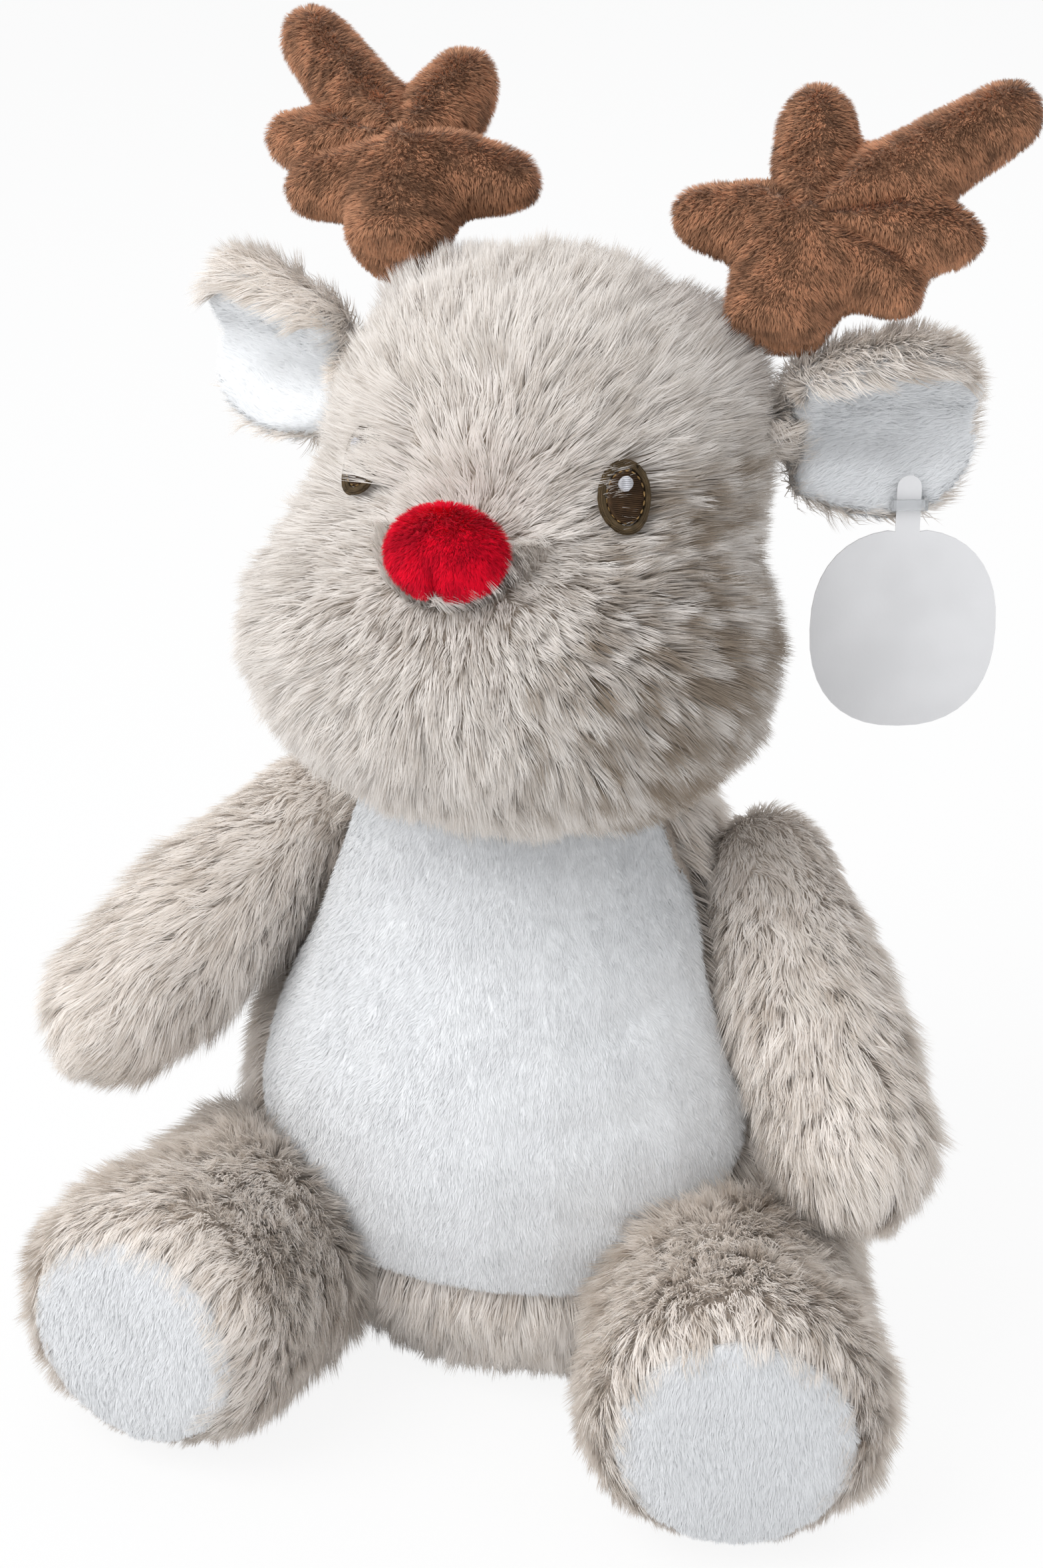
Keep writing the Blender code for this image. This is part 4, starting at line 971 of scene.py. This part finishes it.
class DEER_OT_antlers(Operator):
    """Antlers: fibres of the velour, and the stitched valleys between the tines"""
    bl_idname = "deer.antlers"
    bl_label = "Antlers"

    def execute(self, context):
        sizes = context.scene.deer_sizes
        fibres = fabrics()["brown fibres"]
        stands = {"left": (36, 0), "right": (50, -4)}
        ends = ((-0.0195, 0.025), (0.0033, 0.0525), (0.0476, 0.060), (0.0415, 0.0275), (0.030, 0.0125))

        def velour_shade(points):
            return np.full(len(points), 0.62), np.full(len(points), 0.60)

        for seed, (side, word) in enumerate(SIDES):
            item = bpy.data.objects[f"antler_velour_{word}"]
            root = JOINTS[f"antler_root_{word}"]["pos_m"]
            lean_back, lean = stands[word]
            stand = (Matrix.Translation(root) @ Matrix.Rotation(math.radians(1), 4, "Z")
                     @ Matrix.Rotation(math.radians(3), 4, "Y") @ Matrix.Rotation(math.radians(-lean_back), 4, "X")
                     @ Matrix.Rotation(side * math.radians(2), 4, "Z")
                     @ Matrix.Rotation(side * math.radians(lean), 4, "Y"))
            turn = np.array(stand.to_3x3())
            points, normals = points_of(item.data), normals_of(item.data)
            local = (points - np.array(root)) @ turn
            palm = np.array([side * 0.008, 0.024])
            ways = [unit(np.array([[side * out, up]]) - palm)[0] for out, up in ends]
            depth = np.zeros(len(points))
            for first, second in zip(ways, ways[1:]):
                middle = unit((first + second)[None])[0]
                for share in np.linspace(0.20, 1.0, 9):
                    spot = palm + middle * 0.021 * share
                    near = np.hypot(local[:, 0] - spot[0], local[:, 2] - spot[1])
                    depth = np.maximum(depth, np.exp(-(near / 0.0020) ** 2))
            seam = np.exp(-(local[:, 1] / 0.0009) ** 2) * (np.abs(normals @ turn[:, 1]) < 0.5)
            set_points(item.data, points - normals * (0.0026 * depth + 0.0005 * seam)[:, None])
            grow(f"antler_fibres_{word}", f"antler_{word}", [item], along((0, 0.2, -1)), any_place, fibres,
                 51 + seed, 12.0, sizes.velour_length, 0.00024, math.radians(42), 7, joints=1,
                 floor=False, shade=velour_shade, grain=0.32)
        return {"FINISHED"}


class DEER_OT_nose(Operator):
    """Nose: red short pile with a tuck in its lower middle"""
    bl_idname = "deer.nose"
    bl_label = "Nose"

    def execute(self, context):
        sizes = context.scene.deer_sizes
        item = bpy.data.objects["nose_pad"]
        points, normals = points_of(item.data), normals_of(item.data)
        low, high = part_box("nose")
        middle, height = (low.x + high.x) / 2, (high.z - low.z)
        share = (points[:, 2] - low.z) / height
        tuck = np.exp(-((points[:, 0] - middle) / 0.0015) ** 2) * (1 - smoothstep((share - 0.30) / 0.35))
        set_points(item.data, points - normals * (0.0021 * tuck)[:, None])

        def plush_shade(places):
            return np.full(len(places), 0.75), np.full(len(places), 0.6)

        def front(places, facings):
            return facings[:, 1] < 0.35

        grow("nose_fibres", "head", [item], along((0, 0.0, -1)), front, fabrics()["red fibres"],
             61, 24.0, 0.0019, 0.00018, math.radians(46), 10, joints=1, floor=False, shade=plush_shade, grain=0.2)
        return {"FINISHED"}


class DEER_OT_belly(Operator):
    """Belly panel and soles: white short pile"""
    bl_idname = "deer.belly"
    bl_label = "Belly and soles"

    def execute(self, context):
        sizes = context.scene.deer_sizes
        cloth = fabrics()
        creases = (((0.022, 0.098), (0.048, 0.108), 0.0011, 0.0042), ((0.015, 0.080), (0.052, 0.084), 0.0009, 0.0040),
                   ((-0.044, 0.093), (-0.020, 0.086), 0.0007, 0.0045), ((0.010, 0.062), (0.046, 0.056), 0.0008, 0.0042))

        def wrinkled(points, normals):
            depth = np.zeros(len(points))
            for first, second, deep, wide in creases:
                first, second = np.array(first), np.array(second)
                run = second - first
                flat = points[:, [0, 2]]
                share = np.clip(((flat - first) @ run) / (run @ run), 0, 1)
                near = np.linalg.norm(flat - (first + share[:, None] * run), axis=1)
                fade = np.sin(math.pi * np.clip(0.08 + 0.84 * share, 0, 1))
                depth += deep * fade * np.exp(-(near / wide) ** 2)
            front = smoothstep(-normals[:, 1] * 2)
            return points - normals * (depth * front)[:, None]

        def front(points, normals):
            return normals[:, 1] < 0.2

        def soft_white(points):
            return np.full(len(points), 0.75), np.full(len(points), 0.12)

        panel = fabric_panel("belly_plush", "belly_panel", "torso", 0.0009, cloth["white"],
                             shape=wrinkled)
        grow("belly_fibres", "torso", [panel], torso_comb, front, cloth["white fibres"], 71,
             sizes.short_density, sizes.short_length * 0.8, 0.00024, math.radians(70), 14, gather=0.1, joints=1,
             shade=soft_white)
        for seed, (side, word) in enumerate(SIDES):
            sole = fabric_panel(f"sole_plush_{word}", f"sole_{word}", f"leg_{word}", 0.0009, cloth["white"])
            grow(f"sole_fibres_{word}", f"leg_{word}", [sole], along((0, 0, -1)), front, cloth["white fibres"],
                 75 + seed, sizes.short_density * 1.4, sizes.short_length * 0.9, 0.00024,
                 math.radians(66), 14, gather=0.1, joints=1, shade=soft_white)
        return {"FINISHED"}


def thread_material(name, colour, twist=1500.0):
    """Shiny embroidery thread with a twisted grain."""
    found = bpy.data.materials.get(name)
    if found:
        return found
    material, tree, shader = new_material(name)
    place = tree.nodes.new("ShaderNodeTexCoord")
    wave = node(tree, "ShaderNodeTexWave", Scale=twist, Distortion=3.0, Detail=2.0)
    wave.bands_direction = "DIAGONAL"
    tree.links.new(place.outputs["Object"], wave.inputs["Vector"])
    spots = node(tree, "ShaderNodeTexNoise", Scale=420.0, Detail=2.0)
    tree.links.new(place.outputs["Object"], spots.inputs["Vector"])
    base = mixed(tree, mapped(tree, spots.outputs["Fac"], 0.35, 0.7), colour4(darker(colour, 0.6)),
                 colour4(darker(colour, 1.5)))
    shade = mixed(tree, mapped(tree, wave.outputs["Fac"], 0.2, 0.8), colour4(darker(colour, 0.7)), base)
    tree.links.new(shade, shader.inputs["Base Color"])
    relief = node(tree, "ShaderNodeBump", Strength=0.5, Distance=0.0002)
    tree.links.new(wave.outputs["Fac"], relief.inputs["Height"])
    tree.links.new(relief.outputs["Normal"], shader.inputs["Normal"])
    shader.inputs["Roughness"].default_value = 0.55
    shader.inputs["Specular IOR Level"].default_value = 0.2
    return material


def thread_tubes(lines, radius, sides=5):
    """Round threads along lines of points."""
    points, faces = [], []
    for line in lines:
        start = len(points)
        for index, point in enumerate(line):
            ahead = line[min(index + 1, len(line) - 1)] - line[max(index - 1, 0)]
            way = ahead.normalized()
            across = way.orthogonal().normalized()
            up = way.cross(across)
            taper = 0.55 if index in (0, len(line) - 1) else 1.0
            for step in range(sides):
                angle = 2 * math.pi * step / sides
                points.append(point + (across * math.cos(angle) + up * math.sin(angle)) * radius * taper)
        for index in range(len(line) - 1):
            low = start + index * sides
            for step in range(sides):
                following = (step + 1) % sides
                faces.append((low + step, low + following, low + sides + following, low + sides + step))
        faces.append(tuple(start + step for step in reversed(range(sides))))
        faces.append(tuple(start + (len(line) - 1) * sides + step for step in range(sides)))
    return points, faces


class DEER_OT_eyes(Operator):
    """Embroidered eyes, their rings and highlights, thread by thread"""
    bl_idname = "deer.eyes"
    bl_label = "Eyes"

    def execute(self, context):
        sizes = context.scene.deer_sizes
        colours = context.scene.deer_colours
        radius = sizes.thread_radius
        kinds = (("eye", "eye_threads", thread_material("Dark brown thread", tuple(colours.eye_brown)),
                  "dark_brown_thread"),
                 ("eye_ring", "eye_ring_threads", thread_material("Olive brown thread", tuple(colours.ring_brown)),
                  "gold_brown_thread"),
                 ("eye_glint", "eye_highlight", thread_material("White thread", (0.8, 0.8, 0.84)), "white_thread"))
        gold = thread_material("Gold thread", tuple(colours.ring_gold))
        for side, word in SIDES:
            outline = points_of(frame["nodes"][f"eye_ring_{word}"].data)
            pupil = tree_of(f"eye_{word}")
            centre = outline.mean(0)
            values, ways = np.linalg.eigh(np.cov((outline - centre).T))
            facing = ways[:, 0] * (-1 if ways[1, 0] > 0 else 1)
            tall = ways[:, 2] * (1 if ways[2, 2] > 0 else -1)
            wide = np.cross(tall, facing)
            for source, name, material, slot in kinds:
                node_name = f"{source}_{word}"
                surface = tree_of(node_name)
                corners = points_of(frame["nodes"][node_name].data) - centre
                across, up = corners @ wide, corners @ tall
                half_wide = (across.max() - across.min()) / 2
                half_tall = (up.max() - up.min()) / 2
                middle = centre + wide * (across.max() + across.min()) / 2 + tall * (up.max() + up.min()) / 2

                def on_surface(x, y, lift, under=None):
                    start = Vector(middle + wide * x + tall * y + facing * 0.01)
                    hit = (under or surface).ray_cast(start, Vector(-facing), 0.03)
                    return None if hit[0] is None else hit[0] + Vector(facing) * lift

                lines, stitches = [], []
                if source == "eye_ring":
                    for loop, share in enumerate(np.linspace(0.70, 0.79, 3)):
                        for stitch in range(18):
                            start = 2 * math.pi * (stitch + loop / 3) / 18
                            stitches.append([on_surface(math.sin(angle) * half_wide * share,
                                                        math.cos(angle) * half_tall * share, radius * 1.3, pupil)
                                             for angle in np.linspace(start, start + 0.20, 4)])
                    for loop, share in enumerate(np.linspace(0.90, 0.99, 3)):
                        line = [on_surface(math.sin(angle) * half_wide * share, math.cos(angle) * half_tall * share,
                                           radius * (0.6 - 0.3 * (loop % 2)))
                                for angle in np.linspace(0, 2 * math.pi, 65)]
                        lines.append([point for point in line if point is not None])
                else:
                    rows = int(2 * half_tall / (radius * 2.1))
                    for row in range(rows):
                        y = (row + 0.5) / rows * 2 - 1
                        reach = math.sqrt(max(1 - y * y, 0.0))
                        line = [on_surface(x * half_wide * reach * 0.97, (y + 0.02 * x) * half_tall,
                                           radius * (0.35 + 0.5 * (1 - x * x)))
                                for x in np.linspace(-1, 1, 9)]
                        lines.append([point for point in line if point is not None])
                lines = [line for line in lines if len(line) > 2]
                stitches = [line for line in stitches if None not in line]
                points, faces = thread_tubes(stitches + lines, radius)
                golden = len(thread_tubes(stitches, radius)[1])
                base = node_copy(f"{name}_base", node_name)
                start = len(points)
                points = [tuple(point) for point in points] + [tuple(vertex.co) for vertex in base.data.vertices]
                faces = faces + [tuple(start + index for index in polygon.vertices) for polygon in base.data.polygons]
                bpy.data.objects.remove(base)
                mesh = bpy.data.meshes.new(f"{name}_{word}")
                mesh.from_pydata(points, [], faces)
                mesh.update()
                smooth_faces(mesh)
                mesh.materials.append(material)
                if golden:
                    mesh.materials.append(gold)
                    mesh.polygons.foreach_set("material_index", (np.arange(len(faces)) < golden).astype(np.int32))
                item = linked(f"{name}_{word}", mesh)
                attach(item, "head")
                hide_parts(node_name)
        return {"FINISHED"}


class DEER_OT_hang_tag(Operator):
    """Blank hang tag card and its clear band"""
    bl_idname = "deer.hang_tag"
    bl_label = "Hang tag"

    def execute(self, context):
        colours = context.scene.deer_colours
        card, tree, shader = new_material("Blank tag card")
        place = tree.nodes.new("ShaderNodeTexCoord")
        fibre = node(tree, "ShaderNodeTexNoise", Scale=900.0, Detail=4.0, Roughness=0.6)
        tone = node(tree, "ShaderNodeTexNoise", Scale=45.0, Detail=2.0)
        for texture in (fibre, tone):
            tree.links.new(place.outputs["Object"], texture.inputs["Vector"])
        grey = tuple(colours.card_grey)
        base = mixed(tree, mapped(tree, tone.outputs["Fac"], 0.3, 0.7), colour4(darker(grey, 0.95)),
                     colour4(darker(grey, 1.04)))
        tree.links.new(base, shader.inputs["Base Color"])
        relief = node(tree, "ShaderNodeBump", Strength=0.15, Distance=0.0002)
        tree.links.new(fibre.outputs["Fac"], relief.inputs["Height"])
        tree.links.new(relief.outputs["Normal"], shader.inputs["Normal"])
        shader.inputs["Roughness"].default_value = 0.38
        band, tree, shader = new_material("Clear band")
        place = tree.nodes.new("ShaderNodeTexCoord")
        streak = node(tree, "ShaderNodeTexNoise", Scale=300.0, Detail=2.0)
        tree.links.new(place.outputs["Object"], streak.inputs["Vector"])
        base = mixed(tree, streak.outputs["Fac"], (0.80, 0.82, 0.84, 1), (0.92, 0.93, 0.94, 1))
        tree.links.new(base, shader.inputs["Base Color"])
        shader.inputs["Roughness"].default_value = 0.12
        shader.inputs["IOR"].default_value = 1.46
        shader.inputs["Transmission Weight"].default_value = 0.75
        for name, material in (("tag_card", card), ("tag_band", band)):
            mesh = frame["nodes"][name].data
            mesh.materials.clear()
            mesh.materials.append(material)
        return {"FINISHED"}


class DEER_OT_stage(Operator):
    """Pale floor, soft studio light and the camera"""
    bl_idname = "deer.stage"
    bl_label = "Stage"

    def execute(self, context):
        scene = context.scene
        scene.view_settings.view_transform = "Standard"
        camera = bpy.data.objects.new("Camera", bpy.data.cameras.new("Camera"))
        scene.collection.objects.link(camera)
        camera.data.sensor_fit = "VERTICAL"
        camera.data.sensor_height = 36.0
        camera.data.lens = 70.0
        azimuth, elevation, distance = math.radians(18), math.radians(22), 0.758
        target = Vector((-0.006, 0.0, 0.1405))
        back = Vector((math.sin(azimuth) * math.cos(elevation), -math.cos(azimuth) * math.cos(elevation),
                       math.sin(elevation)))
        camera.location = target + back * distance
        camera.rotation_euler = (-back).to_track_quat("-Z", "Y").to_euler()
        camera.data.clip_start = 0.01
        scene.camera = camera

        mesh = bpy.data.meshes.new("Floor")
        reach = 14.0
        mesh.from_pydata([(-reach, -reach, 0), (reach, -reach, 0), (reach, reach, 0), (-reach, reach, 0)], [],
                         [(0, 1, 2, 3)])
        floor = linked("Floor", mesh)
        material = bpy.data.materials.new("Pale floor")
        material.use_nodes = True
        tree = material.node_tree
        tree.nodes.clear()
        output = tree.nodes.new("ShaderNodeOutputMaterial")
        paper = node(tree, "ShaderNodeBsdfDiffuse", Color=(0.86, 0.86, 0.86, 1))
        glow = node(tree, "ShaderNodeEmission", Color=(1, 1, 1, 1), Strength=1.0)
        path = tree.nodes.new("ShaderNodeLightPath")
        share = tree.nodes.new("ShaderNodeMath")
        share.operation = "MULTIPLY"
        share.inputs[1].default_value = 0.90
        mix = tree.nodes.new("ShaderNodeMixShader")
        tree.links.new(path.outputs["Is Camera Ray"], share.inputs[0])
        tree.links.new(share.outputs[0], mix.inputs[0])
        tree.links.new(paper.outputs[0], mix.inputs[1])
        tree.links.new(glow.outputs[0], mix.inputs[2])
        tree.links.new(mix.outputs[0], output.inputs["Surface"])
        mesh.materials.append(material)

        world = bpy.data.worlds.new("Studio")
        scene.world = world
        world.use_nodes = True
        tree = world.node_tree
        tree.nodes.clear()
        output = tree.nodes.new("ShaderNodeOutputWorld")
        light = node(tree, "ShaderNodeBackground", Color=(0.96, 0.975, 1.0, 1), Strength=0.66)
        seen = node(tree, "ShaderNodeBackground", Color=(1, 1, 1, 1), Strength=1.0)
        path = tree.nodes.new("ShaderNodeLightPath")
        rays = tree.nodes.new("ShaderNodeMath")
        rays.operation = "ADD"
        rays.use_clamp = True
        tree.links.new(path.outputs["Is Camera Ray"], rays.inputs[0])
        tree.links.new(path.outputs["Is Transmission Ray"], rays.inputs[1])
        mix = tree.nodes.new("ShaderNodeMixShader")
        tree.links.new(rays.outputs[0], mix.inputs[0])
        tree.links.new(light.outputs[0], mix.inputs[1])
        tree.links.new(seen.outputs[0], mix.inputs[2])
        tree.links.new(mix.outputs[0], output.inputs["Surface"])

        for name, azimuth, elevation, distance, size, power in (
                ("Key light", -34, 44, 1.6, 1.3, 19.0), ("Fill light", 30, 20, 1.8, 1.6, 2.0),
                ("Back light", 170, 50, 1.8, 1.2, 6.0)):
            lamp = bpy.data.objects.new(name, bpy.data.lights.new(name, "AREA"))
            scene.collection.objects.link(lamp)
            lamp.data.size = size
            lamp.data.energy = power
            turn, rise = math.radians(azimuth), math.radians(elevation)
            back = Vector((math.sin(turn) * math.cos(rise), -math.cos(turn) * math.cos(rise), math.sin(rise)))
            lamp.location = target + back * distance
            lamp.rotation_euler = (-back).to_track_quat("-Z", "Y").to_euler()
        return {"FINISHED"}


class DEER_PT_panel(Panel):
    """Pieces of the plush deer, in the order in which they are made"""
    bl_label = "Plush deer"
    bl_idname = "DEER_PT_panel"
    bl_space_type = "VIEW_3D"
    bl_region_type = "UI"
    bl_category = "Plush deer"

    def draw(self, context):
        for group in (context.scene.deer_sizes, context.scene.deer_colours):
            box = self.layout.box()
            for name in group.bl_rna.properties.keys():
                if name not in ("rna_type", "name"):
                    box.prop(group, name)
        for step in STEPS:
            self.layout.operator(step.bl_idname)


STEPS = (DEER_OT_stage, DEER_OT_skins, DEER_OT_head_pile, DEER_OT_body_pile, DEER_OT_limb_pile, DEER_OT_ears,
         DEER_OT_antlers, DEER_OT_nose, DEER_OT_belly, DEER_OT_eyes, DEER_OT_hang_tag)
CLASSES = (DeerSizes, DeerColours) + STEPS + (DEER_PT_panel,)


def register():
    for kind in CLASSES:
        bpy.utils.register_class(kind)
    bpy.types.Scene.deer_sizes = PointerProperty(type=DeerSizes)
    bpy.types.Scene.deer_colours = PointerProperty(type=DeerColours)


def unregister():
    del bpy.types.Scene.deer_sizes
    del bpy.types.Scene.deer_colours
    for kind in reversed(CLASSES):
        bpy.utils.unregister_class(kind)


def main():
    """Makes the pieces in order."""
    register()
    for step in STEPS:
        group, name = step.bl_idname.split(".")
        getattr(getattr(bpy.ops, group), name)()


if __name__ == "__main__":
    main()
